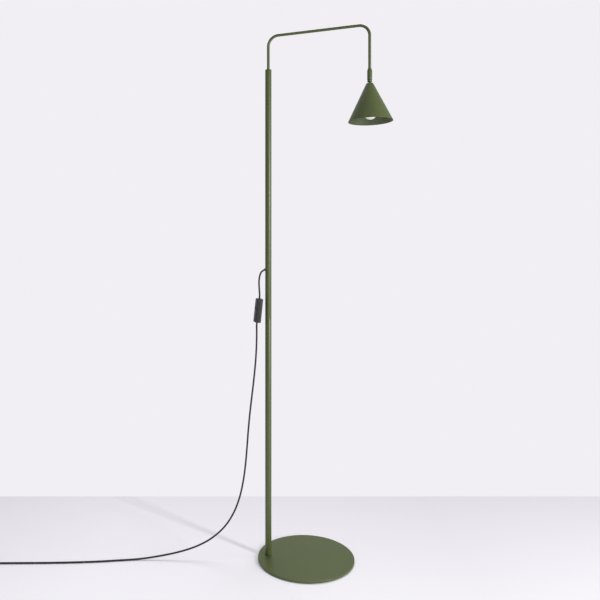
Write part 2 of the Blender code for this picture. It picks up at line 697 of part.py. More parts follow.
def build_arm():
    tube = curve_to_mesh(pipe("arm_tube", arm_route(), ARM_RADIUS, "green_powder_coat", ARM, 4))
    bore = add_cutter("arm_bore", pipe_curve("arm_bore", arm_route(2 * CUT_BEYOND), ARM_BORE, 3), ARM)
    boolean(tube, curve_to_mesh(bore))
    pin_start = ARM_BORE - STOP_PIN_INSIDE
    pin_length = RECESS_RADIUS - GAP - pin_start
    pin_middle = pin_start + pin_length / 2
    pin_height = RECESS_BOTTOM + BUSH_RECESS / 2
    sideways = (0.0, math.pi / 2, 0.0)
    hole = prism_mesh("stop_pin_hole", STOP_PIN_DIAMETER / 2 + GAP, pin_length, 16)
    boolean(tube, add_cutter("stop_pin_hole", hole, ARM, (pin_middle, 0.0, pin_height), sideways))
    pin = prism_mesh("arm_stop_pin", STOP_PIN_DIAMETER / 2, pin_length, 16)
    add_part("arm_stop_pin", pin, "zinc_steel", ARM, (pin_middle, 0.0, pin_height), sideways)

    ring_top = SHOULDER_LEVEL - GAP
    ring = sleeve(ARM_HOLE, SLEEVE_BORE - GAP, ring_top - END_RING_HEIGHT, ring_top)
    turned("arm_end_ring", ring, "brass", ARM, (ARM_REACH, 0.0, 0.0))

    lead = [(0.0, 0.0, ARM_BOTTOM + GAP)] + arm_route()[1:-1]
    lead.append((ARM_REACH, 0.0, SEAT_TOP + GAP))
    pipe("lead_in_arm", lead, LEAD_DIAMETER / 2, "black_cord", ARM)


# ---------------------------------------------------------------- swivel sleeve
def seat_arc(radius, low, high, pieces=3):
    """Points on a sphere round the ball's centre, from one height to the other."""
    result = []
    for step in range(pieces + 1):
        height = low + (high - low) * step / pieces
        result.append((math.sqrt(radius ** 2 - height ** 2), BALL_LEVEL + height))
    return result


def build_swivel():
    top_radius = ARM_RADIUS + SLEEVE_TOP_LIP
    across, down = SLEEVE_TAPER_MIDDLE
    taper = [
        (top_radius, SLEEVE_TOP),
        (top_radius + across * (SLEEVE_RADIUS - top_radius), SLEEVE_TOP - down * SLEEVE_TAPER),
        (SLEEVE_RADIUS, SLEEVE_TOP - SLEEVE_TAPER),
    ]
    outline = taper + [
        (SLEEVE_RADIUS, SLEEVE_BOTTOM), (SLEEVE_BORE, SLEEVE_BOTTOM), (SLEEVE_BORE, SHOULDER_LEVEL),
        (ARM_HOLE, SHOULDER_LEVEL), (ARM_HOLE, SLEEVE_TOP),
    ]
    turned("swivel_sleeve", outline, "green_powder_coat", SWIVEL)

    lip = -RING_LIP * BALL_RADIUS
    mouth = math.sqrt(SEAT_RADIUS ** 2 - lip ** 2) + RING_MOUTH_MARGIN
    outside = [(SLEEVE_RADIUS, RING_TOP), (SLEEVE_RADIUS, RING_BOTTOM), (mouth, RING_BOTTOM)]
    outline = rounded(outside, {1: RING_ROUND}, 2)
    outline += seat_arc(SEAT_RADIUS, lip, 0.0) + [(SEAT_RADIUS, RING_TOP)]
    turned("swivel_ring", outline, "green_powder_coat", SWIVEL)

    hole = STUD_BORE / 2 + SEAT_HOLE_MARGIN
    low = SEAT_BOTTOM - BALL_LEVEL
    high = math.sqrt(SEAT_RADIUS ** 2 - hole ** 2)
    outer = SLEEVE_BORE - GAP
    outline = [(outer, SEAT_TOP), (outer, SEAT_BOTTOM)]
    outline += seat_arc(SEAT_RADIUS, low, high) + [(hole, SEAT_TOP)]
    turned("ball_seat", outline, "natural_nylon", SWIVEL)
    build_seat_spring()


def build_seat_spring():
    bottom = SEAT_TOP + GAP + SPRING_WIRE / 2
    top = ARM_END - GAP - SPRING_WIRE / 2
    radius = SLEEVE_BORE - GAP - SPRING_WIRE
    pieces = 10
    route = []
    for step in range(SPRING_TURNS * pieces + 1):
        angle = math.tau * step / pieces
        height = bottom + (top - bottom) * step / (SPRING_TURNS * pieces)
        route.append((radius * math.cos(angle), radius * math.sin(angle), height))
    pipe("seat_spring", route, SPRING_WIRE / 2, "zinc_steel", SWIVEL, 1)


# ---------------------------------------------------------------- shade and lampholder
def shade_outer(height):
    return SHADE_TOP_DIAMETER / 2 + (SHADE_TOP - height) * math.tan(SHADE_SLOPE)


def shade_inner(height):
    return shade_outer(height) - SHADE_SHEET / math.cos(SHADE_SLOPE)


def build_ball_stud():
    bore = STUD_BORE / 2
    neck = NECK_DIAMETER / 2
    shoulder_bottom = SHADE_TOP + GAP
    shoulder_top = shoulder_bottom + SHOULDER_HEIGHT
    top = math.sqrt(BALL_RADIUS ** 2 - bore ** 2)
    low = -math.sqrt(BALL_RADIUS ** 2 - neck ** 2)
    outline = seat_arc(BALL_RADIUS, top, low, 6) + [
        (neck, shoulder_top), (SHOULDER_DIAMETER / 2, shoulder_top),
        (SHOULDER_DIAMETER / 2, shoulder_bottom), (STUD_RADIUS, shoulder_bottom),
        (STUD_RADIUS, STUD_BOTTOM), (bore, STUD_BOTTOM),
    ]
    turned("ball_stud", outline, "green_powder_coat", SHADE, steps=20)


def build_shade():
    outline = [
        (SHADE_TOP_DIAMETER / 2, SHADE_TOP), (SHADE_RIM_DIAMETER / 2, SHADE_RIM),
        (shade_inner(SHADE_RIM), SHADE_RIM), (shade_inner(SHADE_TOP - SHADE_SHEET), SHADE_TOP - SHADE_SHEET),
        (STUD_HOLE, SHADE_TOP - SHADE_SHEET), (STUD_HOLE, SHADE_TOP),
    ]
    turned("shade_cone", rounded(outline, {0: SHADE_ROUND}, 2), "green_powder_coat", SHADE, steps=56)


def build_nut(name, top):
    corner = NUT_WIDTH / math.sqrt(3)
    nut = add_part(name, prism_mesh(name, corner, NUT_THICKNESS, 6), "zinc_steel", SHADE,
                   (0.0, 0.0, top - NUT_THICKNESS / 2))
    hole = prism_mesh(name + "_hole", STUD_HOLE, NUT_THICKNESS * 2, 20)
    boolean(nut, add_cutter(name + "_hole", hole, SHADE, (0.0, 0.0, top - NUT_THICKNESS / 2)))


def build_holder():
    wall = HOLDER_WALL
    crown = HOLDER_CAP_TOP_DIAMETER / 2
    shoulder = HOLDER_TOP - HOLDER_CAP_SHOULDER * HOLDER_CAP_HEIGHT
    cap = [
        (crown, HOLDER_TOP), (HOLDER_RADIUS, shoulder), (HOLDER_RADIUS, CAP_EDGE),
        (HOLDER_RADIUS - wall, CAP_EDGE), (HOLDER_RADIUS - wall, shoulder - 0.4 * wall),
        (crown - 0.3 * wall, HOLDER_TOP - wall), (STUD_HOLE, HOLDER_TOP - wall), (STUD_HOLE, HOLDER_TOP),
    ]
    corners = {0: HOLDER_CROWN_ROUND, 1: HOLDER_SHOULDER_ROUND}
    turned("holder_cap", rounded(cap, corners, 2), "white_plastic", SHADE, steps=20)
    lip = BULB_NECK_DIAMETER / 2 + HOLDER_LIP_MARGIN
    lip_top = SKIRT_BOTTOM + HOLDER_LIP_HEIGHT
    skirt = [
        (HOLDER_RADIUS, SKIRT_TOP), (HOLDER_RADIUS, SKIRT_BOTTOM), (lip, SKIRT_BOTTOM),
        (lip, lip_top), (HOLDER_RADIUS - wall, lip_top),
        (HOLDER_RADIUS - wall, SKIRT_TOP),
    ]
    turned("holder_skirt", rounded(skirt, {1: HOLDER_SKIRT_ROUND}, 1), "white_plastic", SHADE, steps=20)
    block_radius = HOLDER_RADIUS - wall - GAP
    turned("contact_block", disc(block_radius, BLOCK_BOTTOM, BLOCK_TOP), "white_plastic", SHADE)
    shell_bore = BULB_CAP_DIAMETER / 2 + GAP
    shell = sleeve(shell_bore, shell_bore + SCREW_SHELL_SHEET, SHELL_TOP - SCREW_SHELL_LENGTH, SHELL_TOP)
    turned("screw_shell", shell, "brass", SHADE)
    contact_top = BLOCK_BOTTOM - GAP
    contact = box_mesh("centre_contact", CENTRE_CONTACT_SIZE)
    contact_middle = contact_top - CENTRE_CONTACT_SIZE[2] / 2
    add_part("centre_contact", contact, "brass", SHADE, (0.0, 0.0, contact_middle))
    lead = [(0.0, 0.0, BALL_LEVEL + LEAD_INTO_BALL * BALL_RADIUS), (0.0, 0.0, BLOCK_TOP + GAP)]
    pipe("lead_in_shade", lead, STUD_BORE / 2 - GAP, "black_cord", SHADE)


def build_bulb():
    radius = BULB_DIAMETER / 2
    neck = BULB_NECK_DIAMETER / 2
    neck_top = BULB_CAP_BOTTOM - GAP
    pieces = 7

    def globe(size, neck_radius):
        points = [(neck_radius, neck_top), (neck_radius, neck_top - BULB_NECK_STRAIGHT)]
        for step in range(pieces):
            angle = BULB_NECK_LEAVES - (BULB_NECK_LEAVES + math.pi / 2) * step / pieces
            points.append((size * math.cos(angle), BULB_CENTRE + size * math.sin(angle)))
        return points + [(0.0, BULB_CENTRE - size)]

    outside = globe(radius, neck)
    inside = globe(radius - BULB_GLASS, neck - BULB_GLASS)
    turned("bulb_globe", list(reversed(inside)) + outside, "opal_glass", SHADE, steps=24)
    cap_radius = BULB_CAP_DIAMETER / 2
    cap = [
        (0.0, BULB_CAP_TOP), (BULB_CAP_TOP_SHARE * cap_radius, BULB_CAP_TOP),
        (cap_radius, BULB_CAP_TOP - BULB_CAP_SHOULDER_HEIGHT),
        (cap_radius, BULB_CAP_BOTTOM), (0.0, BULB_CAP_BOTTOM),
    ]
    turned("bulb_cap", cap, "nickel", SHADE)
    contact = disc(BULB_CONTACT_DIAMETER / 2, BULB_CAP_TOP + GAP, BULB_TOP)
    turned("bulb_contact", contact, "nickel", SHADE, steps=16)


# ---------------------------------------------------------------- cord inside and outside
def build_strain_relief():
    """In the relief's own frame, whose Z axis leaves the pole along the cord."""
    root = RELIEF_ROOT_DIAMETER / 2
    inner = RELIEF_ROOT - RELIEF_INSIDE
    outline = [
        (0.0, RELIEF_TIP), (RELIEF_TIP_DIAMETER / 2, RELIEF_TIP), (root, RELIEF_ROOT + RELIEF_COLLAR),
        (root, inner), (0.0, inner),
    ]
    turned("cord_strain_relief", outline, "black_plastic", RELIEF)

    clamp_bottom = RELIEF_AXIS_LEVEL + CORD_CLAMP_RISE
    lead_hole = LEAD_DIAMETER / 2 + GAP
    clamp = sleeve(lead_hole, INSERT_RADIUS, clamp_bottom, clamp_bottom + CORD_CLAMP_HEIGHT)
    turned("lead_clamp", clamp, "natural_nylon", location=(POLE_X, 0.0, 0.0))

    start = EXIT_DIRECTION * (inner - GAP)
    out = Vector((math.cos(EXIT_ANGLE), math.sin(EXIT_ANGLE), 0.0))
    base = Vector((0.0, 0.0, RELIEF_AXIS_LEVEL))
    bend = [base + start - EXIT_DIRECTION * LEAD_STRAIGHT]
    bend += [base + out * across + Vector((0.0, 0.0, up)) for across, up in LEAD_BEND]
    lead = [base + start] + smooth_route(bend, LEAD_SPACING) + [Vector((0.0, 0.0, BEARING_BOTTOM - GAP))]
    pipe("lead_in_pole", lead, LEAD_DIAMETER / 2, "black_cord", CORD)


def build_cords():
    radius = CORD_DIAMETER / 2
    relief_end = Vector((0.0, 0.0, RELIEF_AXIS_LEVEL)) + EXIT_DIRECTION * (RELIEF_TIP + GAP)
    half_switch = SWITCH.rotation_euler.to_matrix() @ Vector((0.0, 0.0, SWITCH_LENGTH / 2 + GAP))
    upper = [relief_end] + smooth_route(UPPER_ROUTE, CORD_SPACING) + [SWITCH.location + half_switch]
    lower = [SWITCH.location - half_switch] + smooth_route(LOWER_ROUTE, LONG_CORD_SPACING)
    pipe("cord_upper", upper, radius, "black_cord", CORD)
    pipe("cord_lower", lower, radius, "black_cord", CORD)
    pipe("cord_end", smooth_route(END_ROUTE, CORD_SPACING), radius, "black_cord", CORD)


def build_coil():
    middle = COIL_MIDDLE_DIAMETER / 2
    inner = middle - COIL_SECTION / 2
    outer = middle + COIL_SECTION / 2
    section = sleeve(inner, outer, COIL_LIFT, COIL_LIFT + COIL_SECTION)
    corners = {index: COIL_CORNER_ROUND for index in range(4)}
    centre = (COIL_CENTRE[0], COIL_CENTRE[1], 0.0)
    turned("cord_coil", rounded(section, corners, 1), "black_cord", CORD, centre, steps=32)

    inside = COIL_SECTION + 2 * TIE_CLEARANCE
    outside = inside + 2 * TIE_THICKNESS
    height = COIL_LIFT + COIL_SECTION / 2
    place = Vector(centre) + COIL_BACK * middle + Vector((0.0, 0.0, height))
    turn = (0.0, 0.0, COIL_TURN)
    tie = add_part("coil_tie", box_mesh("coil_tie", (TIE_WIDTH, outside, COIL_SECTION + 2 * COIL_LIFT)),
                   "black_plastic", CORD, place, turn)
    gap_box = box_mesh("coil_tie_inside", (TIE_WIDTH * 2, inside, COIL_SECTION + 2 * GAP))
    boolean(tie, add_cutter("coil_tie_inside", gap_box, CORD, place, turn))


# ---------------------------------------------------------------- switch on the cord
def build_switch_cover(name, side):
    """Half of the switch's housing: side is +1 for the rocker's half and -1 for the back."""
    depth = SWITCH_DEPTH / 2 - GAP / 2
    middle = side * (GAP / 2 + depth / 2)
    shell = add_part(name, box_mesh(name, (depth, SWITCH_WIDTH, SWITCH_LENGTH), (middle, 0.0, 0.0)),
                     "black_plastic", SWITCH)
    bevel(shell, SWITCH_EDGE_ROUND, 2)
    inner = (2 * (depth - SWITCH_WALL), SWITCH_WIDTH - 2 * SWITCH_WALL, SWITCH_LENGTH - 2 * SWITCH_WALL)
    cavity = box_mesh(name + "_cavity", inner, (side * GAP / 2, 0.0, 0.0))
    boolean(shell, add_cutter(name + "_cavity", cavity, SWITCH))
    hole = prism_mesh(name + "_cord_holes", CORD_DIAMETER / 2 + GAP, SWITCH_LENGTH * 1.2, 20)
    boolean(shell, add_cutter(name + "_cord_holes", hole, SWITCH))
    return shell


def build_switch_housing():
    front = build_switch_cover("switch_front_cover", 1)
    back = build_switch_cover("switch_back_cover", -1)
    window_width = ROCKER_WIDTH + 2 * WINDOW_MARGIN
    window_size = (WINDOW_DEPTH, window_width, ROCKER_LENGTH + 2 * ROCKER_CLEARANCE)
    window = box_mesh("rocker_window", window_size)
    boolean(front, add_cutter("rocker_window", window, SWITCH, (SWITCH_DEPTH / 2, 0.0, 0.0)))
    cheek_inner = ROCKER_WIDTH / 2 + WINDOW_MARGIN
    cheek_depth = ROCKER_PIN_DEPTH + CHEEK_BEYOND_PIN
    cheek_middle = SWITCH_DEPTH / 2 - FACE_SKIN - cheek_depth / 2
    for index, side in enumerate((1, -1)):
        place = (cheek_middle, side * (cheek_inner + CHEEK_THICKNESS / 2), 0.0)
        mesh = box_mesh("rocker_cheek_%d" % index, (cheek_depth, CHEEK_THICKNESS, CHEEK_WIDTH))
        boolean(front, add_cutter("rocker_cheek_%d" % index, mesh, SWITCH, place), "UNION")
    pin_hole = prism_mesh("rocker_pin_hole", ROCKER_PIN_DIAMETER / 2 + GAP, ROCKER_WIDTH * 2, 16)
    lying = (math.pi / 2, 0.0, 0.0)
    boolean(front, add_cutter("rocker_pin_hole", pin_hole, SWITCH, (ROCKER_HINGE, 0.0, 0.0), lying))
    pin_length = 2 * (cheek_inner + CHEEK_THICKNESS)
    pin = prism_mesh("rocker_pin", ROCKER_PIN_DIAMETER / 2, pin_length, 16)
    add_part("rocker_pin", pin, "zinc_steel", SWITCH, (ROCKER_HINGE, 0.0, 0.0), lying)
    for index, end in enumerate((1, -1)):
        build_switch_screw(index + 1, end, front, back)


def build_switch_screw(number, end, front, back):
    """A screw from the back into a post of the front half, beside the cord's way in."""
    across = end * (SWITCH_WIDTH / 2 - SWITCH_SCREW_IN[0])
    along = end * (SWITCH_LENGTH / 2 - SWITCH_SCREW_IN[1])
    radius = SWITCH_SCREW_DIAMETER / 2
    upright = (0.0, math.pi / 2, 0.0)
    post_length = SWITCH_DEPTH / 2 - GAP / 2 - FACE_SKIN
    post = prism_mesh("screw_post_%d" % number, radius + SCREW_POST_WALL, post_length, 12)
    middle = SWITCH_DEPTH / 2 - FACE_SKIN - post_length / 2
    post_place = (middle, across, along)
    boolean(front, add_cutter("screw_post_%d" % number, post, SWITCH, post_place, upright), "UNION")
    hole_length = SWITCH_DEPTH - 2 * CUT_BEYOND
    hole = prism_mesh("screw_hole_%d" % number, radius + GAP, hole_length, 12)
    hole_place = (SWITCH_DEPTH / 2 - SCREW_HOLE_FLOOR - hole_length / 2, across, along)
    hole_cutter = add_cutter("screw_hole_%d" % number, hole, SWITCH, hole_place, upright)
    boolean(front, hole_cutter)
    boolean(back, hole_cutter)
    back_face = -SWITCH_DEPTH / 2
    place = (back_face, across, along)
    head = SWITCH_SCREW_HEAD_HEIGHT
    head_radius = radius * SWITCH_SCREW_HEAD_RATIO
    outline = [
        (0.0, SWITCH_SCREW_LENGTH), (radius, SWITCH_SCREW_LENGTH), (radius, head),
        (head_radius, head), (head_radius, 0.0), (0.0, 0.0),
    ]
    pocket = disc(head_radius + GAP, -CUT_BEYOND, head + GAP)
    boolean(back, turned_cutter("screw_pocket_%d" % number, pocket, SWITCH, place, upright, 16))
    turned("switch_screw_%d" % number, outline, "zinc_steel", SWITCH, place, upright, 16)


def build_switch_inside():
    below_cord, sideways, from_end = CORD_CLAMP_PLACE
    deep, across, apart = TERMINAL_PLACE
    for index, end in enumerate((1, -1)):
        along = end * (SWITCH_LENGTH / 2 - SWITCH_WALL - GAP - from_end)
        bar = box_mesh("cord_clamp_%d" % (index + 1), CORD_CLAMP_SIZE)
        place = (-CORD_DIAMETER / 2 - below_cord, -end * sideways, along)
        add_part("cord_clamp_%d" % (index + 1), bar, "black_plastic", SWITCH, place)
        terminal = box_mesh("switch_terminal_%d" % (index + 1), TERMINAL_SIZE)
        place = (deep, end * across, end * apart)
        part = add_part("switch_terminal_%d" % (index + 1), terminal, "brass", SWITCH, place)
        bevel(part, TERMINAL_ROUND, 1)
    bridge = box_mesh("contact_bridge", BRIDGE_SIZE)
    add_part("contact_bridge", bridge, "brass", SWITCH, (BRIDGE_DEPTH, 0.0, 0.0))


def build_rocker():
    """The rocker's outline lies in its frame's XZ plane, round the pin at the origin."""
    half = ROCKER_LENGTH / 2
    crest = SWITCH_DEPTH / 2 + ROCKER_PROUD - ROCKER_HINGE
    hub = ROCKER_PIN_DIAMETER / 2 + ROCKER_HUB_WALL
    end = half - ROCKER_END_TAPER
    outline = [(-half, crest), (0.0, crest - ROCKER_DIP), (half, crest)]
    outline += [(end, ROCKER_SKIRT), (hub, ROCKER_HUB_LEVEL)]
    outline += [(hub * math.cos(angle), -hub * math.sin(angle)) for angle in (0.6, 1.2, 1.9, 2.5)]
    outline += [(-hub, ROCKER_HUB_LEVEL), (-end, ROCKER_SKIRT)]
    hole = ROCKER_PIN_DIAMETER / 2 + GAP
    sides = 14
    angles = [math.tau * step / sides for step in range(sides)]
    circle = [(hole * math.cos(angle), hole * math.sin(angle)) for angle in angles]
    curve = bpy.data.curves.new("rocker", "CURVE")
    curve.dimensions = "2D"
    curve.fill_mode = "BOTH"
    curve.extrude = ROCKER_WIDTH / 2
    for loop in (outline, circle):
        spline = curve.splines.new("POLY")
        spline.points.add(len(loop) - 1)
        for point, (along, out) in zip(spline.points, loop):
            point.co = (along, out, 0.0, 1.0)
        spline.use_cyclic_u = True
    lie = (-math.pi / 2, -math.pi / 2, 0.0)
    rocker = curve_to_mesh(add_part("switch_rocker", curve, "black_rocker", ROCKER, (0.0, 0.0, 0.0), lie))
    bevel(rocker, ROCKER_EDGE_ROUND, 1, 50.0)


# ---------------------------------------------------------------- plug
def build_plug():
    """In the plug's own frame: X runs from the cord to the pins' tips, Z is up."""
    rear = PLUG_REAR_WIDTH / 2
    front = PLUG_WIDTH / 2
    side = [(0.0, rear), (PLUG_REAR_SHARE * PLUG_LENGTH, rear + PLUG_REAR_FLARE)]
    side += [(along * PLUG_LENGTH, across * front) for along, across in PLUG_SIDE]
    side += [(PLUG_LENGTH, front)]
    outline = side + [(along, -across) for along, across in reversed(side)]
    curve = bpy.data.curves.new("plug_body", "CURVE")
    curve.dimensions = "2D"
    curve.fill_mode = "BOTH"
    curve.extrude = PLUG_HEIGHT / 2
    spline = curve.splines.new("POLY")
    spline.points.add(len(outline) - 1)
    for point, (along, across) in zip(spline.points, outline):
        point.co = (along, across, 0.0, 1.0)
    spline.use_cyclic_u = True
    body = curve_to_mesh(add_part("plug_body", curve, "black_plastic", PLUG))
    bevel(body, PLUG_EDGE_ROUND, 2)
    forward = (0.0, math.pi / 2, 0.0)
    length = PLUG_PIN_LENGTH + PLUG_PIN_EMBEDDED
    middle = PLUG_LENGTH - PLUG_PIN_EMBEDDED + length / 2
    for index, side_sign in enumerate((1, -1)):
        across = side_sign * PLUG_PIN_SPACING / 2
        place = (middle, across, 0.0)
        hole = prism_mesh("plug_pin_hole_%d" % index, PLUG_PIN_DIAMETER / 2 + GAP, length + 2 * GAP, 12)
        boolean(body, add_cutter("plug_pin_hole_%d" % index, hole, PLUG, place, forward))
        name = "plug_pin_%d" % (index + 1)
        pin = prism_mesh(name, PLUG_PIN_DIAMETER / 2, length, 12)
        part = add_part(name, pin, "nickel", PLUG, place, forward)
        bevel(part, PLUG_PIN_ROUND, 1)


# ---------------------------------------------------------------- build
def smooth_shading():
    for part in PARTS.objects:
        if part.type == "MESH" and len(part.data.polygons) > 0:
            part.data.shade_smooth()
            part.data.set_sharp_from_angle(angle=math.radians(35.0))


clear_scene()
PARTS = new_collection("adjustable_arm_floor_lamp")
CUTTERS = new_collection("cutters")
make_materials()

ARM = frame("arm_swivel_axis", (POLE_X, 0.0, 0.0), (0.0, 0.0, ARM_ANGLE))
SWIVEL = frame("shade_turn_axis", (ARM_REACH, 0.0, 0.0), parent=ARM)
SHADE_TILT = frame("shade_tilt_axis", (0.0, 0.0, BALL_LEVEL), parent=SWIVEL)
SHADE_HANG = frame("shade_hang", (0.0, 0.0, 0.0), (SHADE_LEAN_SIDE, -SHADE_LEAN_OUT, 0.0), SHADE_TILT)
SHADE = frame("shade_heights", (0.0, 0.0, -BALL_LEVEL), parent=SHADE_HANG)
RELIEF = frame("cord_exit", (POLE_X, 0.0, RELIEF_AXIS_LEVEL), (0.0, math.pi / 2 + EXIT_SLOPE, EXIT_ANGLE))
CORD = frame("cord_place", (POLE_X, 0.0, 0.0))
SWITCH = frame("switch_middle", SWITCH_CENTRE, (0.0, SWITCH_LEAN, SWITCH_ANGLE), CORD)
ROCKER = frame("rocker_axis", (ROCKER_HINGE, 0.0, 0.0), (0.0, ROCKER_SWING, 0.0), SWITCH)
PLUG = frame("plug_rear", (*PLUG_REAR, PLUG_CENTRE_HEIGHT), (0.0, 0.0, math.pi / 2 + COIL_TURN), CORD)

build_base()
build_strain_relief()
build_pole()
build_swivel_bush()
build_arm()
build_swivel()
build_ball_stud()
build_shade()
build_nut("shade_nut", SHADE_TOP - SHADE_SHEET - GAP)
build_holder()
build_nut("holder_nut", HOLDER_TOP - HOLDER_WALL - GAP)
build_bulb()
build_cords()
build_coil()
build_switch_housing()
build_switch_inside()
build_rocker()
build_plug()
smooth_shading()
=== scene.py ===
import math

import bmesh
import bpy
import json
from mathutils import Euler, Matrix, Vector


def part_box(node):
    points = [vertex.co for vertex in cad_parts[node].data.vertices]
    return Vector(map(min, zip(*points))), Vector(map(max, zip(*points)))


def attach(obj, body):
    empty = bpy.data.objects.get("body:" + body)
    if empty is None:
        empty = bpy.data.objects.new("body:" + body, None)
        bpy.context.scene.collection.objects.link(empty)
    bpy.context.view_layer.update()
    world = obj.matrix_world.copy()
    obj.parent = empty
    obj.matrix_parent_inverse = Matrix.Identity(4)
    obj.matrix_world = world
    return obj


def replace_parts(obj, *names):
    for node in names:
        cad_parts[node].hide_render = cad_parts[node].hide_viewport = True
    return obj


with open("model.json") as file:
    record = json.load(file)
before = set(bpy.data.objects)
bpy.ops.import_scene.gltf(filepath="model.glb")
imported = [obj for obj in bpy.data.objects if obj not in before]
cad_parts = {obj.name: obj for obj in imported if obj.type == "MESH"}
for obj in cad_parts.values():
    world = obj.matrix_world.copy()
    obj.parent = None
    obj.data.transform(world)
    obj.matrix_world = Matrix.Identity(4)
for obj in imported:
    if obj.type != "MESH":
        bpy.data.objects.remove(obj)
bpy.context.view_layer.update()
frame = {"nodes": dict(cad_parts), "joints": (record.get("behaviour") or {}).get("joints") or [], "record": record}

# ---------------------------------------------------------------- places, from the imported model
JOINTS = {joint["name"]: joint for joint in frame["joints"]}


def low(node):
    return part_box(node)[0]


def high(node):
    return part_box(node)[1]


def middle(node):
    lowest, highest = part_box(node)
    return (Vector(lowest) + Vector(highest)) / 2


POLE = Vector((*JOINTS["arm_swivel"]["pos_m"][:2], 0.0))
SHADE = Vector((*JOINTS["shade_turn"]["pos_m"][:2], 0.0))
BALL = Vector(JOINTS["shade_tilt"]["pos_m"])
UP = Vector((0.0, 0.0, 1.0))
ARM_WAY = (SHADE - POLE).normalized()
REACH = (SHADE - POLE).length

VIEW_ANGLE = math.radians(6.0)
RIGHT = Vector((math.cos(VIEW_ANGLE), math.sin(VIEW_ANGLE), 0.0))
BACK = Vector((-math.sin(VIEW_ANGLE), math.cos(VIEW_ANGLE), 0.0))

# ---------------------------------------------------------------- camera
CAMERA_PLACE = (0.0458, -1.8052, 0.8817)
LENS = 37.794


def make_camera():
    data = bpy.data.cameras.new("camera")
    data.sensor_width = 36.0
    data.lens = LENS
    data.shift_x = 0.0735
    data.shift_y = -0.083
    data.clip_start = 0.02
    data.clip_end = 60.0
    camera = bpy.data.objects.new("camera", data)
    camera.location = CAMERA_PLACE
    camera.rotation_euler = (math.pi / 2, 0.0, VIEW_ANGLE)
    bpy.context.scene.collection.objects.link(camera)
    bpy.context.scene.camera = camera


# ---------------------------------------------------------------- mesh helpers
def link(name, mesh, material, body):
    piece = bpy.data.objects.new(name, mesh)
    bpy.context.scene.collection.objects.link(piece)
    mesh.materials.append(material)
    mesh.shade_smooth()
    mesh.set_sharp_from_angle(angle=math.radians(32.0))
    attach(piece, body)
    return piece


def from_rings(name, rings, close_loop, cap_ends):
    """A mesh through rings of points, all with the same count."""
    mesh = bpy.data.meshes.new(name)
    count = len(rings[0])
    points = [point for ring in rings for point in ring]
    faces = []
    pairs = list(zip(range(len(rings) - 1), range(1, len(rings))))
    if close_loop:
        pairs.append((len(rings) - 1, 0))
    for first, second in pairs:
        for index in range(count):
            after = (index + 1) % count
            faces.append((first * count + index, first * count + after,
                          second * count + after, second * count + index))
    if cap_ends:
        faces.append(tuple(reversed(range(count))))
        faces.append(tuple((len(rings) - 1) * count + index for index in range(count)))
    mesh.from_pydata([tuple(point) for point in points], [], faces)
    return tidy(mesh)


def tidy(mesh):
    builder = bmesh.new()
    builder.from_mesh(mesh)
    bmesh.ops.remove_doubles(builder, verts=builder.verts, dist=0.000002)
    bmesh.ops.recalc_face_normals(builder, faces=builder.faces)
    builder.to_mesh(mesh)
    builder.free()
    return mesh


def lathe(name, outline, place=None, steps=96):
    """Turn (radius, height) points round the Z axis of place; the outline closes on itself."""
    rings = []
    for step in range(steps):
        angle = math.tau * step / steps
        rings.append([Vector((r * math.cos(angle), r * math.sin(angle), z)) for r, z in outline])
    mesh = from_rings(name, rings, True, False)
    if place is not None:
        mesh.transform(place)
    return mesh


def upright(point):
    return Matrix.Translation((point.x, point.y, 0.0))


def hanging():
    """The shade's frame: it leans a little about the ball, with heights still counted from the floor."""
    turn = math.atan2(ARM_WAY.y, ARM_WAY.x)
    lean = Euler((SHADE_LEAN_SIDE, -SHADE_LEAN_OUT, 0.0)).to_matrix().to_4x4()
    return Matrix.Translation(BALL) @ Matrix.Rotation(turn, 4, "Z") @ lean @ Matrix.Translation(UP * -BALL.z)


def rounded(outline, radii, pieces=6):
    """The outline with an arc at each listed corner: radii maps a point's index to its radius."""
    result = []
    for index, corner in enumerate(outline):
        radius = radii.get(index, 0.0)
        if radius <= 0.0:
            result.append(tuple(corner))
            continue
        here = Vector(corner)
        before = (Vector(outline[index - 1]) - here).normalized()
        after = (Vector(outline[(index + 1) % len(outline)]) - here).normalized()
        half = before.angle(after) / 2
        centre = here + (before + after).normalized() * (radius / math.sin(half))
        start = here + before * (radius / math.tan(half)) - centre
        end = here + after * (radius / math.tan(half)) - centre
        sweep = start.angle_signed(end)
        for step in range(pieces + 1):
            result.append(tuple(centre + Matrix.Rotation(-sweep * step / pieces, 2) @ start))
    return result


def frames_along(route):
    """A pair of cross directions at each point, carried along without twist."""
    tangents = []
    for index in range(len(route)):
        ahead = route[min(index + 1, len(route) - 1)]
        behind = route[max(index - 1, 0)]
        tangents.append((ahead - behind).normalized())
    side = tangents[0].orthogonal().normalized()
    result = []
    for tangent in tangents:
        side = (side - tangent * side.dot(tangent)).normalized()
        result.append((side, tangent.cross(side)))
    return result


def ring_points(centre, side, other, radius, count):
    return [
        centre + side * (radius * math.cos(math.tau * step / count))
        + other * (radius * math.sin(math.tau * step / count))
        for step in range(count)
    ]


def hollow_tube(name, route, outer, inner, count=40):
    directions = frames_along(route)
    rings = [ring_points(p, s, o, outer, count) for p, (s, o) in zip(route, directions)]
    rings += [ring_points(p, s, o, inner, count) for p, (s, o) in reversed(list(zip(route, directions)))]
    return from_rings(name, rings, True, False)


def cylinder(name, radius, bottom, top, place, count=32):
    circle = [[Vector((radius * math.cos(math.tau * k / count), radius * math.sin(math.tau * k / count), z))
               for k in range(count)] for z in (bottom, top)]
    mesh = from_rings(name, circle, False, True)
    mesh.transform(place)
    return mesh


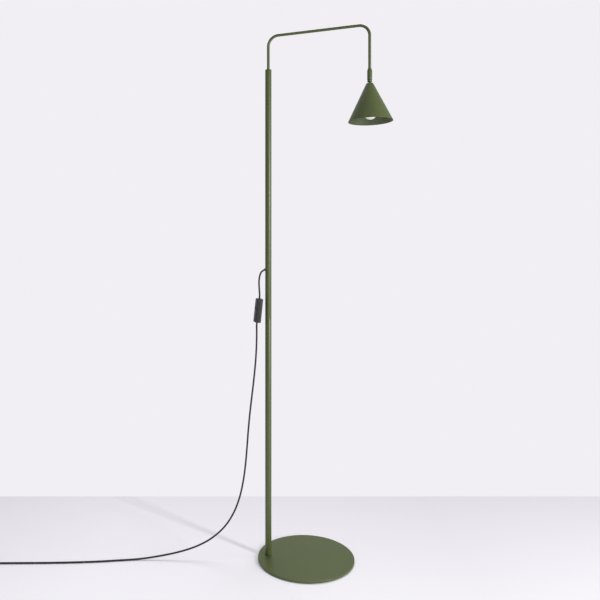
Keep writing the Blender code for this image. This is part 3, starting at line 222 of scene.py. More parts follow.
def block(name, size, centre, place):
    mesh = bpy.data.meshes.new(name)
    builder = bmesh.new()
    bmesh.ops.create_cube(builder, size=1.0)
    bmesh.ops.scale(builder, vec=size, verts=builder.verts)
    bmesh.ops.translate(builder, vec=centre, verts=builder.verts)
    builder.to_mesh(mesh)
    builder.free()
    mesh.transform(place)
    return mesh


def baked(mesh, width=0.0, segments=4, angle=40.0, cutters=()):
    """The mesh with its edges rounded and the cutters taken out of it."""
    scene = bpy.context.scene.collection
    piece = bpy.data.objects.new(mesh.name, mesh)
    scene.objects.link(piece)
    if width > 0.0:
        bevel = piece.modifiers.new("edges", "BEVEL")
        bevel.width = width
        bevel.segments = segments
        bevel.limit_method = "ANGLE"
        bevel.angle_limit = math.radians(angle)
    helpers = []
    for number, cutter in enumerate(cutters):
        helper = bpy.data.objects.new("%s_cutter_%d" % (mesh.name, number), cutter)
        scene.objects.link(helper)
        helpers.append(helper)
        cut = piece.modifiers.new("cut_%d" % number, "BOOLEAN")
        cut.operation = "DIFFERENCE"
        cut.solver = "EXACT"
        cut.object = helper
    bpy.context.view_layer.update()
    evaluated = piece.evaluated_get(bpy.context.evaluated_depsgraph_get())
    result = bpy.data.meshes.new_from_object(evaluated)
    for thing in [piece] + helpers:
        bpy.data.objects.remove(thing, do_unlink=True)
    result.name = mesh.name
    return result


def prism(name, outline, thickness):
    """A flat outline in XY with the given thickness along Z, centred."""
    mesh = bpy.data.meshes.new(name)
    builder = bmesh.new()
    bottom = [builder.verts.new((x, y, -thickness / 2)) for x, y in outline]
    face = builder.faces.new(bottom)
    raised = bmesh.ops.extrude_face_region(builder, geom=[face])
    verts = [item for item in raised["geom"] if isinstance(item, bmesh.types.BMVert)]
    bmesh.ops.translate(builder, vec=(0.0, 0.0, thickness), verts=verts)
    bmesh.ops.recalc_face_normals(builder, faces=builder.faces)
    builder.to_mesh(mesh)
    builder.free()
    return mesh


def smooth_route(points, spacing):
    """Evenly spaced points on a smooth curve through the given ones."""
    given = [Vector(point) for point in points]
    given = [2 * given[0] - given[1]] + given + [2 * given[-1] - given[-2]]
    fine = []
    for before, start, end, after in zip(given, given[1:], given[2:], given[3:]):
        for step in range(24):
            t = step / 24
            fine.append(0.5 * (
                2 * start
                + (end - before) * t
                + (2 * before - 5 * start + 4 * end - after) * t ** 2
                + (3 * start - before - 3 * end + after) * t ** 3
            ))
    fine.append(given[-2])
    lengths = [0.0]
    for first, second in zip(fine, fine[1:]):
        lengths.append(lengths[-1] + (second - first).length)
    count = max(2, round(lengths[-1] / spacing))
    result = [fine[0]]
    index = 0
    for step in range(1, count):
        target = lengths[-1] * step / count
        while lengths[index + 1] < target:
            index += 1
        share = (target - lengths[index]) / (lengths[index + 1] - lengths[index])
        result.append(fine[index].lerp(fine[index + 1], share))
    result.append(fine[-1])
    return result


# ---------------------------------------------------------------- materials
class Nodes:
    """Short ways to add shader nodes to one material."""

    def __init__(self, name):
        self.material = bpy.data.materials.new(name)
        self.material.use_nodes = True
        self.tree = self.material.node_tree
        self.shader = self.tree.nodes["Principled BSDF"]
        self.place = self.tree.nodes.new("ShaderNodeTexCoord").outputs["Object"]

    def node(self, kind, **values):
        made = self.tree.nodes.new(kind)
        for key, value in values.items():
            setattr(made, key, value)
        return made

    def wire(self, source, target):
        self.tree.links.new(source, target)

    def stretched(self, scale):
        mapping = self.node("ShaderNodeMapping")
        mapping.inputs["Scale"].default_value = scale
        self.wire(self.place, mapping.inputs["Vector"])
        return mapping.outputs["Vector"]

    def noise(self, scale, detail=3.0, vector=None):
        made = self.node("ShaderNodeTexNoise")
        made.inputs["Scale"].default_value = scale
        made.inputs["Detail"].default_value = detail
        self.wire(vector or self.place, made.inputs["Vector"])
        return made.outputs["Fac"]

    def between(self, value, low_to, high_to, low_from=0.3, high_from=0.7):
        made = self.node("ShaderNodeMapRange")
        made.inputs["From Min"].default_value = low_from
        made.inputs["From Max"].default_value = high_from
        made.inputs["To Min"].default_value = low_to
        made.inputs["To Max"].default_value = high_to
        self.wire(value, made.inputs["Value"])
        return made.outputs["Result"]

    def colours(self, value, first, second, low_from=0.3, high_from=0.7):
        ramp = self.node("ShaderNodeValToRGB")
        ramp.color_ramp.elements[0].position = low_from
        ramp.color_ramp.elements[0].color = (*first, 1.0)
        ramp.color_ramp.elements[1].position = high_from
        ramp.color_ramp.elements[1].color = (*second, 1.0)
        self.wire(value, ramp.inputs["Fac"])
        return ramp.outputs["Color"]

    def bump(self, height, depth, strength=1.0, after=None):
        made = self.node("ShaderNodeBump")
        made.inputs["Distance"].default_value = depth
        made.inputs["Strength"].default_value = strength
        self.wire(height, made.inputs["Height"])
        if after is not None:
            self.wire(after, made.inputs["Normal"])
        return made.outputs["Normal"]


def shade_of(colour, factor):
    return tuple(min(1.0, channel * factor) for channel in colour)


def surface(name, colour, roughness, metallic=0.0, vary=0.05, patch=25.0, grain=900.0, grain_depth=0.00002,
            fine=3500.0, fine_depth=0.000006, rough_vary=0.06, stretch=None, settings=()):
    """A material with patches of colour, an uneven gloss and two sizes of relief."""
    made = Nodes(name)
    vector = made.stretched(stretch) if stretch else made.place
    patches = made.noise(patch, 4.0)
    made.wire(made.colours(patches, shade_of(colour, 1.0 - vary), shade_of(colour, 1.0 + vary)),
              made.shader.inputs["Base Color"])
    gloss = made.between(made.noise(patch * 6.0, 5.0, vector), roughness - rough_vary, roughness + rough_vary)
    made.wire(gloss, made.shader.inputs["Roughness"])
    coarse = made.bump(made.noise(grain, 2.0, vector), grain_depth)
    made.wire(made.bump(made.noise(fine, 2.0, vector), fine_depth, 1.0, coarse), made.shader.inputs["Normal"])
    made.shader.inputs["Metallic"].default_value = metallic
    for socket, value in settings:
        made.shader.inputs[socket].default_value = value
    return made.material


def make_materials():
    """One material for each of the record's slots."""
    surface("green_powder_coat", (0.074, 0.098, 0.029), 0.33, vary=0.035, patch=18.0, grain=1100.0,
            grain_depth=0.000022, fine=4200.0, fine_depth=0.000005, rough_vary=0.05,
            settings=(("Specular IOR Level", 0.5),))
    surface("black_foam", (0.018, 0.018, 0.018), 0.93, vary=0.2, patch=60.0, grain=1500.0,
            grain_depth=0.00015, fine=5000.0, fine_depth=0.00005)
    surface("zinc_steel", (0.56, 0.57, 0.60), 0.34, 1.0, vary=0.10, patch=180.0, rough_vary=0.10)
    surface("natural_nylon", (0.80, 0.78, 0.71), 0.45, vary=0.03, settings=(("Subsurface Weight", 0.15),))
    surface("black_plastic", (0.014, 0.014, 0.014), 0.38, vary=0.10, patch=40.0, grain=1600.0,
            grain_depth=0.00003, fine=5200.0, fine_depth=0.00001)
    surface("black_cord", (0.007, 0.007, 0.007), 0.50, vary=0.15, patch=30.0, grain=500.0,
            grain_depth=0.00003, fine=2600.0, fine_depth=0.000006, rough_vary=0.08)
    surface("black_rocker", (0.034, 0.034, 0.037), 0.26, vary=0.06, patch=40.0, grain=1200.0,
            grain_depth=0.000006, fine=4000.0, fine_depth=0.000002, rough_vary=0.04)
    surface("brass", (0.74, 0.55, 0.26), 0.27, 1.0, vary=0.08, patch=120.0, stretch=(1.0, 1.0, 14.0))
    surface("nickel", (0.70, 0.68, 0.64), 0.22, 1.0, vary=0.05, patch=120.0, grain_depth=0.000006)
    surface("white_plastic", (0.82, 0.82, 0.80), 0.34, vary=0.02, patch=30.0, grain_depth=0.000010,
            settings=(("Subsurface Weight", 0.10),))
    surface("opal_glass", (0.90, 0.90, 0.88), 0.16, vary=0.015, patch=25.0, grain_depth=0.000004,
            fine_depth=0.000001, rough_vary=0.03,
            settings=(("Coat Weight", 0.4), ("Emission Color", (1.0, 0.99, 0.96, 1.0)),
                      ("Emission Strength", 0.07)))


def material(slot):
    return bpy.data.materials[FINISH[slot]]


def repaint_frame():
    """Every CAD node that stays visible takes the detailed material of its slot."""
    for part in frame["record"]["subparts"]:
        node = frame["nodes"][part["node"]]
        for slot in node.material_slots:
            slot.link = "OBJECT"
            slot.material = material(part["material_slot"])


# ---------------------------------------------------------------- free cord
CORD_DIAMETER = 0.005
LONG_SPACING = 0.005
SHORT_SPACING = 0.003
UPPER_ROUTE = [
    (-0.0177, -0.0129, 0.8207), (-0.0200, -0.0145, 0.8173), (-0.0219, -0.0156, 0.8125),
    (-0.0234, -0.0165, 0.8069), (-0.0245, -0.0172, 0.8006), (-0.0251, -0.0178, 0.7927),
    (-0.0250, -0.0181, 0.7840), (-0.0245, -0.0182, 0.7740), (-0.0239, -0.0182, 0.7640),
    (-0.0233, -0.0181, 0.7550),
]
LOWER_ROUTE = [
    (-0.0316, -0.0207, 0.6660), (-0.0314, -0.0206, 0.6500), (-0.0318, -0.0203, 0.6200),
    (-0.0333, -0.0202, 0.5850), (-0.0360, -0.0202, 0.5500), (-0.0403, -0.0207, 0.5080),
    (-0.0453, -0.0212, 0.4650), (-0.0505, -0.0218, 0.4200), (-0.0549, -0.0223, 0.3740),
    (-0.0584, -0.0226, 0.3280), (-0.0622, -0.0230, 0.2820), (-0.0676, -0.0236, 0.2370),
    (-0.0755, -0.0244, 0.1950), (-0.0850, -0.0254, 0.1620), (-0.0982, -0.0268, 0.1310),
    (-0.1170, -0.0288, 0.1010), (-0.1400, -0.0311, 0.0765), (-0.1700, -0.0343, 0.0542),
    (-0.2080, -0.0383, 0.0359), (-0.2520, -0.0430, 0.0220), (-0.2980, -0.0482, 0.0122),
    (-0.3420, -0.0544, 0.0056), (-0.3780, -0.0608, 0.0029), (-0.4220, -0.0704, 0.0026),
    (-0.4740, -0.0822, 0.0026), (-0.5400, -0.0940, 0.0026), (-0.6060, -0.1036, 0.0026),
    (-0.6730, -0.1118, 0.0026), (-0.7400, -0.1196, 0.0026), (-0.7660, -0.1236, 0.0029),
    (-0.7835, -0.1265, 0.0035),
]
END_ROUTE = [
    (-0.8373, -0.0831, 0.0090), (-0.8383, -0.0735, 0.0086), (-0.8393, -0.0635, 0.0080),
    (-0.8404, -0.0535, 0.0074), (-0.8414, -0.0440, 0.0070),
]
GAP = 0.0003
SWITCH_CENTRE = Vector((-0.0272, -0.0193, 0.7100))
SWITCH_LEAN = math.radians(-6.2)
SWITCH_ANGLE = math.radians(198.0)
SWITCH_SIZE = Vector((0.017, 0.028, 0.068))
SWITCH = Matrix.LocRotScale(POLE + SWITCH_CENTRE, Euler((0.0, SWITCH_LEAN, SWITCH_ANGLE)), None)

EXIT_ANGLE = math.radians(216.0)
EXIT_SLOPE = math.radians(28.0)
POLE_RADIUS = 0.009
RELIEF_INSIDE = 0.0095
RELIEF_OUTSIDE = 0.011
EXIT_WAY = Vector((
    math.cos(EXIT_ANGLE) * math.cos(EXIT_SLOPE),
    math.sin(EXIT_ANGLE) * math.cos(EXIT_SLOPE),
    -math.sin(EXIT_SLOPE),
))
EXIT_LEVEL = low("upper_pole").z + 0.1435
RELIEF_LEVEL = EXIT_LEVEL + POLE_RADIUS * math.tan(EXIT_SLOPE)
RELIEF_ROOT = POLE_RADIUS / math.cos(EXIT_SLOPE)
RELIEF_TIP = RELIEF_ROOT + RELIEF_OUTSIDE
RELIEF = Matrix.LocRotScale(
    POLE + UP * RELIEF_LEVEL, Euler((0.0, math.pi / 2 + EXIT_SLOPE, EXIT_ANGLE)), None)

COIL_INNER = 0.0254
COIL_OUTER = 0.0306
COIL_LOW = 0.0038
COIL_HIGH = 0.0090
COIL_TURNS = 3.25


def coil_route():
    """The wound length: two turns on the floor, then two on top of them, clockwise from above."""
    centre = middle("cord_coil")
    places = [
        (0.0, COIL_OUTER, COIL_LOW), (0.72, COIL_OUTER, COIL_LOW), (1.0, COIL_INNER, COIL_LOW),
        (1.52, COIL_INNER, COIL_LOW), (1.72, COIL_INNER, COIL_HIGH), (2.24, COIL_INNER, COIL_HIGH),
        (2.52, COIL_OUTER, COIL_HIGH), (COIL_TURNS, COIL_OUTER, COIL_HIGH),
    ]
    steps = 110
    result = []
    for step in range(steps + 1):
        turn = COIL_TURNS * step / steps
        for (start, r0, z0), (end, r1, z1) in zip(places, places[1:]):
            if turn <= end:
                share = (1.0 - math.cos(math.pi * (turn - start) / (end - start))) / 2
                radius = r0 + (r1 - r0) * share
                height = z0 + (z1 - z0) * share
                break
        angle = math.tau * turn
        spoke = -BACK * math.cos(angle) - RIGHT * math.sin(angle)
        result.append(Vector((centre.x, centre.y, height)) + spoke * radius)
    return result


def cord_curve(name, route):
    data = bpy.data.curves.new(name, "CURVE")
    data.dimensions = "3D"
    data.bevel_depth = CORD_DIAMETER / 2
    data.bevel_resolution = 5
    data.use_fill_caps = True
    spline = data.splines.new("POLY")
    spline.points.add(len(route) - 1)
    for point, place in zip(spline.points, route):
        point.co = (*place, 1.0)
    spline.use_smooth = True
    data.materials.append(material("black_cord"))
    cord = bpy.data.objects.new(name, data)
    bpy.context.scene.collection.objects.link(cord)
    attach(cord, "stand")
    return cord


def make_cords():
    half = SWITCH.to_3x3() @ Vector((0.0, 0.0, SWITCH_SIZE.z / 2 + GAP))
    centre = SWITCH.translation
    start = POLE + UP * RELIEF_LEVEL + EXIT_WAY * (RELIEF_TIP + GAP)
    upper_points = [start] + [POLE + Vector(point) for point in UPPER_ROUTE] + [centre + half]
    upper = smooth_route(upper_points, 0.002)
    lower_points = [centre - half] + [POLE + Vector(point) for point in LOWER_ROUTE]
    coil = coil_route()
    end = [POLE + Vector(point) for point in END_ROUTE]
    to_coil = smooth_route(lower_points + [coil[0]], LONG_SPACING)[:-1]
    from_coil = smooth_route([coil[-1]] + end, SHORT_SPACING)[1:]
    lower = to_coil + coil + from_coil
    first = cord_curve("cord_to_switch", upper)
    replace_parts(first, "cord_upper")
    second = cord_curve("cord_to_plug", lower)
    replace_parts(second, "cord_lower", "cord_coil", "cord_end")
    return (first, upper), (second, lower)


# ---------------------------------------------------------------- base and pole
PLATE_ROUND = 0.0010
SCREW_HEAD = 0.0076
SCREW_SHANK = 0.0040
POLE_WALL = 0.0015
POLE_EDGE = 0.0003
CAP_ROUND = 0.0014
ARM_RADIUS = 0.004
ARM_BORE = 0.003
ARM_BEND = 0.030
ARM_STEP = 0.006
BEND_STEPS = 24
ARM_BELOW_RING = 0.0005


def make_base():
    bottom, top = low("base_plate").z, high("base_plate").z
    radius = high("base_plate").x
    corners = rounded(
        [(0.0, top), (radius, top), (radius, bottom), (0.0, bottom)], {1: PLATE_ROUND, 2: 0.0004}, 6)
    place = upright(POLE)
    seat = lathe("screw_seat", [
        (0.0, top + 0.001), (SCREW_SHANK + GAP, top + 0.001), (SCREW_SHANK + GAP, bottom + SCREW_SHANK),
        (SCREW_HEAD + GAP, bottom), (SCREW_HEAD + GAP, bottom - 0.001), (0.0, bottom - 0.001),
    ], place, 48)
    plate = baked(lathe("base_plate_coated", corners, None, 192), cutters=[seat])
    piece = link("base_plate_coated", plate, material("green_powder_coat"), "stand")
    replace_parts(piece, "base_plate")


def tube_outline(inner, outer, bottom, top):
    corners = [(outer, top), (outer, bottom), (inner, bottom), (inner, top)]
    return rounded(corners, {0: POLE_EDGE, 1: POLE_EDGE}, 3)


def make_pole():
    place = upright(POLE)
    bore = POLE_RADIUS - POLE_WALL
    bottom, joint = low("lower_pole").z, high("lower_pole").z
    lower = lathe("lower_pole_coated", tube_outline(bore, POLE_RADIUS, bottom, joint), place)
    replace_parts(link("lower_pole_coated", lower, material("green_powder_coat"), "stand"), "lower_pole")
    start, end = low("upper_pole").z, high("upper_pole").z
    hole = cylinder("cord_hole", 0.0036, 0.0, 0.018, RELIEF)
    tube = lathe("upper_pole_coated", tube_outline(bore, POLE_RADIUS, start, end), place)
    upper = baked(tube, cutters=[hole])
    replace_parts(link("upper_pole_coated", upper, material("green_powder_coat"), "stand"), "upper_pole")

    top = high("pole_cap").z
    flange = end + GAP
    spigot = low("pole_cap").z
    hole_radius = ARM_RADIUS + GAP
    inside = bore - GAP
    outline = rounded([
        (POLE_RADIUS, top), (POLE_RADIUS, flange), (inside, flange), (inside, spigot),
        (hole_radius, spigot), (hole_radius, top),
    ], {0: CAP_ROUND, 5: 0.0003}, 6)
    cap = lathe("pole_cap_coated", outline, place)
    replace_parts(link("pole_cap_coated", cap, material("green_powder_coat"), "stand"), "pole_cap")


def make_arm():
    level = high("arm_tube").z - ARM_RADIUS
    start = low("arm_tube").z
    bend_level = level - ARM_BEND
    start_point = POLE + UP * start

    def at(along, height):
        return POLE + ARM_WAY * along + UP * height

    straight_steps = int((bend_level - start) / ARM_STEP)
    route = [start_point + UP * (ARM_STEP * step) for step in range(straight_steps)]
    for centre, first_angle in ((ARM_BEND, math.pi), (REACH - ARM_BEND, math.pi / 2)):
        for step in range(BEND_STEPS + 1):
            angle = first_angle - math.pi / 2 * step / BEND_STEPS
            route.append(at(centre + ARM_BEND * math.cos(angle), bend_level + ARM_BEND * math.sin(angle)))
    route.append(at(REACH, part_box("arm_end_ring")[0].z - ARM_BELOW_RING))
    mesh = hollow_tube("arm_tube_coated", route, ARM_RADIUS, ARM_BORE)
    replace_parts(link("arm_tube_coated", mesh, material("green_powder_coat"), "arm"), "arm_tube")


# ---------------------------------------------------------------- swivel, shade and lampholder
SLEEVE_RADIUS = 0.0067
SLEEVE_BORE = 0.0056
SLEEVE_TAPER = 0.0062
SLEEVE_CROWN = 0.0009
SLEEVE_BULGE = 1.6
SLEEVE_CHAMFER = 0.0003
SEAT_CLEARANCE = 0.0002
RING_LIP = 0.54
RING_MOUTH_MARGIN = 0.0007
RING_TOP_ROUND = 0.0003
RING_ROUND = 0.0012
BALL_RADIUS = 0.0052
NECK_RADIUS = 0.0027
STUD_RADIUS = 0.0025
STUD_BORE = 0.0017
COLLAR_RADIUS = 0.0036
COLLAR_HEIGHT = 0.0008
NECK_FLARE_HEIGHT = 0.0014
NECK_FLARE = 0.0003
SHADE_LEAN_OUT = math.radians(1.05)
SHADE_LEAN_SIDE = math.radians(1.0)
SHADE_TOP_RADIUS = 0.0091
SHADE_RIM_RADIUS = 0.0608
BALL_ABOVE_SHADE = 0.0070
SHADE_HEIGHT = 0.1035
SHADE_TOP = BALL.z - BALL_ABOVE_SHADE
SHADE_RIM = SHADE_TOP - SHADE_HEIGHT
SHEET = 0.0008
SHADE_TOP_ROUND = 0.0014
SHADE_RIM_ROUND = 0.0002
HOLDER_DROP = 0.0075
HOLDER_CAP_HEIGHT = 0.0120
HOLDER_TOP = SHADE_TOP - HOLDER_DROP
HOLDER_EDGE = HOLDER_TOP - HOLDER_CAP_HEIGHT
SKIRT_LENGTH = 0.0262
STUD_ABOVE_EDGE = 0.0045
STUD_BOTTOM = HOLDER_EDGE + STUD_ABOVE_EDGE
HOLDER_RADIUS = 0.013
HOLDER_WALL = 0.0015
BULB_RADIUS = 0.020
BULB_NECK = 0.008
BULB_DROP = 0.0790
BULB_GLASS_LENGTH = 0.0520
BULB_BOTTOM = HOLDER_EDGE - BULB_DROP
BULB_NECK_TOP = BULB_BOTTOM + BULB_GLASS_LENGTH
GLASS = 0.0008


def seat_arc(radius, start, end, pieces):
    """Points on a sphere round the ball's centre, from one height to the other."""
    result = []
    for step in range(pieces + 1):
        height = start + (end - start) * step / pieces
        result.append((math.sqrt(max(radius ** 2 - height ** 2, 0.0)), BALL.z + height))
    return result


def make_swivel():
    place = upright(SHADE)
    top, bottom = high("swivel_sleeve").z, low("swivel_sleeve").z
    shoulder = high("arm_end_ring").z + GAP
    hole = ARM_RADIUS + GAP
    crown = ARM_RADIUS + SLEEVE_CROWN
    taper = []
    for step in range(9):
        share = step / 8
        bulge = share ** SLEEVE_BULGE
        taper.append((crown + (SLEEVE_RADIUS - crown) * bulge, top - SLEEVE_TAPER * share))
    outline = taper + [
        (SLEEVE_RADIUS, bottom + SLEEVE_CHAMFER), (SLEEVE_RADIUS - SLEEVE_CHAMFER, bottom),
        (SLEEVE_BORE, bottom),
        (SLEEVE_BORE, shoulder), (hole, shoulder), (hole, top),
    ]
    sleeve = lathe("swivel_sleeve_coated", outline, place)
    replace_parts(link("swivel_sleeve_coated", sleeve, material("green_powder_coat"), "swivel"), "swivel_sleeve")

    ring_top, ring_bottom = high("swivel_ring").z, low("swivel_ring").z
    seat = BALL_RADIUS + SEAT_CLEARANCE
    lip = -RING_LIP * BALL_RADIUS
    mouth = math.sqrt(seat ** 2 - lip ** 2) + RING_MOUTH_MARGIN
    outline = rounded([
        (SLEEVE_RADIUS, ring_top), (SLEEVE_RADIUS, ring_bottom), (mouth, ring_bottom),
    ], {0: RING_TOP_ROUND, 1: RING_ROUND}, 5)
    outline += seat_arc(seat, lip, 0.0, 8) + [(seat, ring_top)]
    ring = lathe("swivel_ring_coated", outline, place)
    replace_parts(link("swivel_ring_coated", ring, material("green_powder_coat"), "swivel"), "swivel_ring")


def make_ball_stud():
    top = math.sqrt(BALL_RADIUS ** 2 - STUD_BORE ** 2)
    neck = -math.sqrt(BALL_RADIUS ** 2 - NECK_RADIUS ** 2)
    base = SHADE_TOP + GAP
    outline = seat_arc(BALL_RADIUS, top, neck, 22) + [
        (NECK_RADIUS, base + NECK_FLARE_HEIGHT), (NECK_RADIUS + NECK_FLARE, base + COLLAR_HEIGHT),
        (COLLAR_RADIUS, base + COLLAR_HEIGHT), (COLLAR_RADIUS, base), (STUD_RADIUS, base),
        (STUD_RADIUS, STUD_BOTTOM), (STUD_BORE, STUD_BOTTOM),
    ]
    stud = lathe("ball_stud_coated", outline, hanging(), 72)
    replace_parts(link("ball_stud_coated", stud, material("green_powder_coat"), "shade"), "ball_stud")


def make_shade():
    top, rim, rim_radius = SHADE_TOP, SHADE_RIM, SHADE_RIM_RADIUS
    slope = math.atan2(rim_radius - SHADE_TOP_RADIUS, top - rim)
    inset = SHEET / math.cos(slope)
    inner_top = SHADE_TOP_RADIUS + SHEET * math.tan(slope) - inset
    hole = STUD_RADIUS + GAP
    outline = [
        (SHADE_TOP_RADIUS, top), (rim_radius, rim), (rim_radius - inset, rim),
        (inner_top, top - SHEET), (hole, top - SHEET), (hole, top),
    ]
    outline = rounded(outline, {0: SHADE_TOP_ROUND, 1: SHADE_RIM_ROUND, 2: SHADE_RIM_ROUND}, 6)
    cone = lathe("shade_cone_coated", outline, hanging(), 192)
    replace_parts(link("shade_cone_coated", cone, material("green_powder_coat"), "shade"), "shade_cone")


def make_holder():
    place = hanging()
    top, edge = HOLDER_TOP, HOLDER_EDGE
    crown = 0.007
    shoulder = top - 0.0066
    hole = STUD_RADIUS + GAP
    cap = rounded([
        (crown, top), (HOLDER_RADIUS, shoulder), (HOLDER_RADIUS, edge), (HOLDER_RADIUS - HOLDER_WALL, edge),
        (HOLDER_RADIUS - HOLDER_WALL, shoulder - 0.4 * HOLDER_WALL),
        (crown - 0.3 * HOLDER_WALL, top - HOLDER_WALL),
        (hole, top - HOLDER_WALL), (hole, top),
    ], {0: 0.0015, 1: 0.003, 2: 0.0003}, 5)
    made = lathe("holder_cap_moulded", cap, place, 72)
    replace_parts(link("holder_cap_moulded", made, material("white_plastic"), "shade"), "holder_cap")

    start, end = HOLDER_EDGE - GAP, HOLDER_EDGE - GAP - SKIRT_LENGTH
    lip = BULB_NECK + 0.0004
    outline = [(HOLDER_RADIUS, start)]
    grooves = 5
    for groove in range(grooves):
        level = start - 0.006 - 0.003 * groove
        outline += [(HOLDER_RADIUS, level + 0.0006), (HOLDER_RADIUS - 0.0004, level + 0.0003),
                    (HOLDER_RADIUS - 0.0004, level - 0.0003), (HOLDER_RADIUS, level - 0.0006)]
    outline += [
        (HOLDER_RADIUS, end + 0.001), (HOLDER_RADIUS - 0.001, end), (lip, end), (lip, end + 0.0014),
        (HOLDER_RADIUS - HOLDER_WALL, end + 0.0014), (HOLDER_RADIUS - HOLDER_WALL, start),
    ]
    made = lathe("holder_skirt_moulded", outline, place, 72)
    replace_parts(link("holder_skirt_moulded", made, material("white_plastic"), "shade"), "holder_skirt")


def make_bulb():
    place = hanging()
    neck_top = BULB_NECK_TOP
    centre = BULB_BOTTOM + BULB_RADIUS
    leave = math.radians(52.0)

    def globe(radius, neck):
        points = [(neck, neck_top), (neck, neck_top - 0.002)]
        for step in range(29):
            angle = leave - (leave + math.pi / 2) * step / 29
            points.append((radius * math.cos(angle), centre + radius * math.sin(angle)))
        return points + [(0.0, centre - radius)]

    outline = list(reversed(globe(BULB_RADIUS - GLASS, BULB_NECK - GLASS))) + globe(BULB_RADIUS, BULB_NECK)
    made = lathe("bulb_globe_opal", outline, place, 96)
    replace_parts(link("bulb_globe_opal", made, material("opal_glass"), "shade"), "bulb_globe")


# ---------------------------------------------------------------- strain relief, switch, plug and tie
SWITCH_WALL = 0.0016
ROCKER_HINGE = 0.0035
ROCKER_SWING = math.radians(7.0)
ROCKER_HALF = 0.0085
ROCKER_WIDTH = 0.010
ROCKER_PROUD = 0.0014
PLUG_LENGTH = 0.036
PLUG_HALF_WIDTH = 0.0176
PLUG_HEIGHT = 0.0137
PIN_RADIUS = 0.002
PIN_LENGTH = 0.019
PIN_SPACING = 0.0186


def make_relief():
    inner = RELIEF_ROOT - RELIEF_INSIDE
    root = 0.0033
    tip = 0.0028
    outline = [(0.0, inner), (root, inner), (root, RELIEF_ROOT + 0.0010)]
    ribs = 4
    for rib in range(ribs):
        at = RELIEF_ROOT + 0.0022 + 0.0021 * rib
        here = root + (tip - root) * (rib + 1) / (ribs + 1)
        outline += [(here, at - 0.0006), (here - 0.0004, at - 0.0003),
                    (here - 0.0004, at + 0.0003), (here, at + 0.0006)]
    outline += [(tip, RELIEF_TIP - 0.0002), (tip - 0.0002, RELIEF_TIP), (0.0, RELIEF_TIP)]
    made = lathe("cord_relief_boot", outline, RELIEF, 48)
    piece = link("cord_relief_boot", made, material("black_plastic"), "stand")
    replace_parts(piece, "cord_strain_relief")
    return piece


def half_housing(name, side):
    """Half of the switch's housing, split from a rounded block."""
    mesh = baked(block(name, tuple(SWITCH_SIZE), (0.0, 0.0, 0.0), Matrix()), 0.0022, 6)
    builder = bmesh.new()
    builder.from_mesh(mesh)
    found = bmesh.ops.bisect_plane(
        builder, geom=builder.verts[:] + builder.edges[:] + builder.faces[:],
        plane_co=(side * GAP / 2, 0.0, 0.0), plane_no=(-side, 0.0, 0.0), clear_outer=True)
    edges = [item for item in found["geom_cut"] if isinstance(item, bmesh.types.BMEdge)]
    bmesh.ops.holes_fill(builder, edges=edges)
    bmesh.ops.recalc_face_normals(builder, faces=builder.faces)
    builder.to_mesh(mesh)
    builder.free()
    depth = SWITCH_SIZE.x / 2 - SWITCH_WALL
    inside = (2 * depth, SWITCH_SIZE.y - 2 * SWITCH_WALL, SWITCH_SIZE.z - 2 * SWITCH_WALL)
    cavity = block(name + "_cavity", inside, (0.0, 0.0, 0.0), Matrix())
    way = cylinder(name + "_cord_way", CORD_DIAMETER / 2 + GAP, -0.040, 0.040, Matrix())
    cutters = [cavity, way]
    lying = Matrix.Rotation(math.pi / 2, 4, "Y")
    if side > 0:
        cutters.append(block(name + "_window", (0.008, ROCKER_WIDTH + 0.001, 2 * ROCKER_HALF + 0.0022),
                             (SWITCH_SIZE.x / 2, 0.0, 0.0), Matrix()))
    else:
        for end in (1, -1):
            across = end * (SWITCH_SIZE.y / 2 - 0.0052)
            along = end * (SWITCH_SIZE.z / 2 - 0.0060)
            pocket = Matrix.Translation((-SWITCH_SIZE.x / 2, across, along)) @ lying
            cutters.append(cylinder(name + "_pocket", 0.00234, -0.001, 0.0010, pocket))
            cutters.append(cylinder(name + "_screw_way", 0.0015, -0.001, 0.0100, pocket))
    made = baked(mesh, cutters=cutters)
    made.transform(SWITCH)
    return link(name, made, material("black_plastic"), "stand")


def make_switch():
    front = half_housing("switch_front_moulded", 1)
    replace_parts(front, "switch_front_cover")
    back = half_housing("switch_back_moulded", -1)
    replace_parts(back, "switch_back_cover")
    make_rocker()
    return [front, back]


def make_rocker():
    crest = SWITCH_SIZE.x / 2 + ROCKER_PROUD - ROCKER_HINGE
    hub = 0.0026
    steps = 24
    outline = []
    for step in range(steps + 1):
        along = -ROCKER_HALF + 2 * ROCKER_HALF * step / steps
        hollow = 0.0011 * (1.0 - (along / ROCKER_HALF) ** 2)
        outline.append((crest - hollow, along))
    outline += [(0.0012, ROCKER_HALF - 0.0006), (-0.0004, hub)]
    for angle in (0.6, 0.9, 1.2, 1.57, 1.9, 2.2, 2.5):
        outline.append((-hub * math.sin(angle), hub * math.cos(angle)))
    outline += [(-0.0004, -hub), (0.0012, -ROCKER_HALF + 0.0006)]
    body = prism("switch_rocker_moulded", outline, ROCKER_WIDTH)
    stand_up = Matrix(((1, 0, 0, 0), (0, 0, 1, 0), (0, 1, 0, 0), (0, 0, 0, 1)))
    body.transform(stand_up)
    tidy(body)
    pin = cylinder("pin_way", 0.0013, -0.010, 0.010, Matrix.Rotation(math.pi / 2, 4, "X"))
    made = baked(body, 0.0004, 3, 45.0, [pin])
    place = SWITCH @ Matrix.Translation((ROCKER_HINGE, 0.0, 0.0)) @ Matrix.Rotation(ROCKER_SWING, 4, "Y")
    made.transform(place)
    piece = link("switch_rocker_moulded", made, material("black_rocker"), "rocker")
    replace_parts(piece, "switch_rocker")


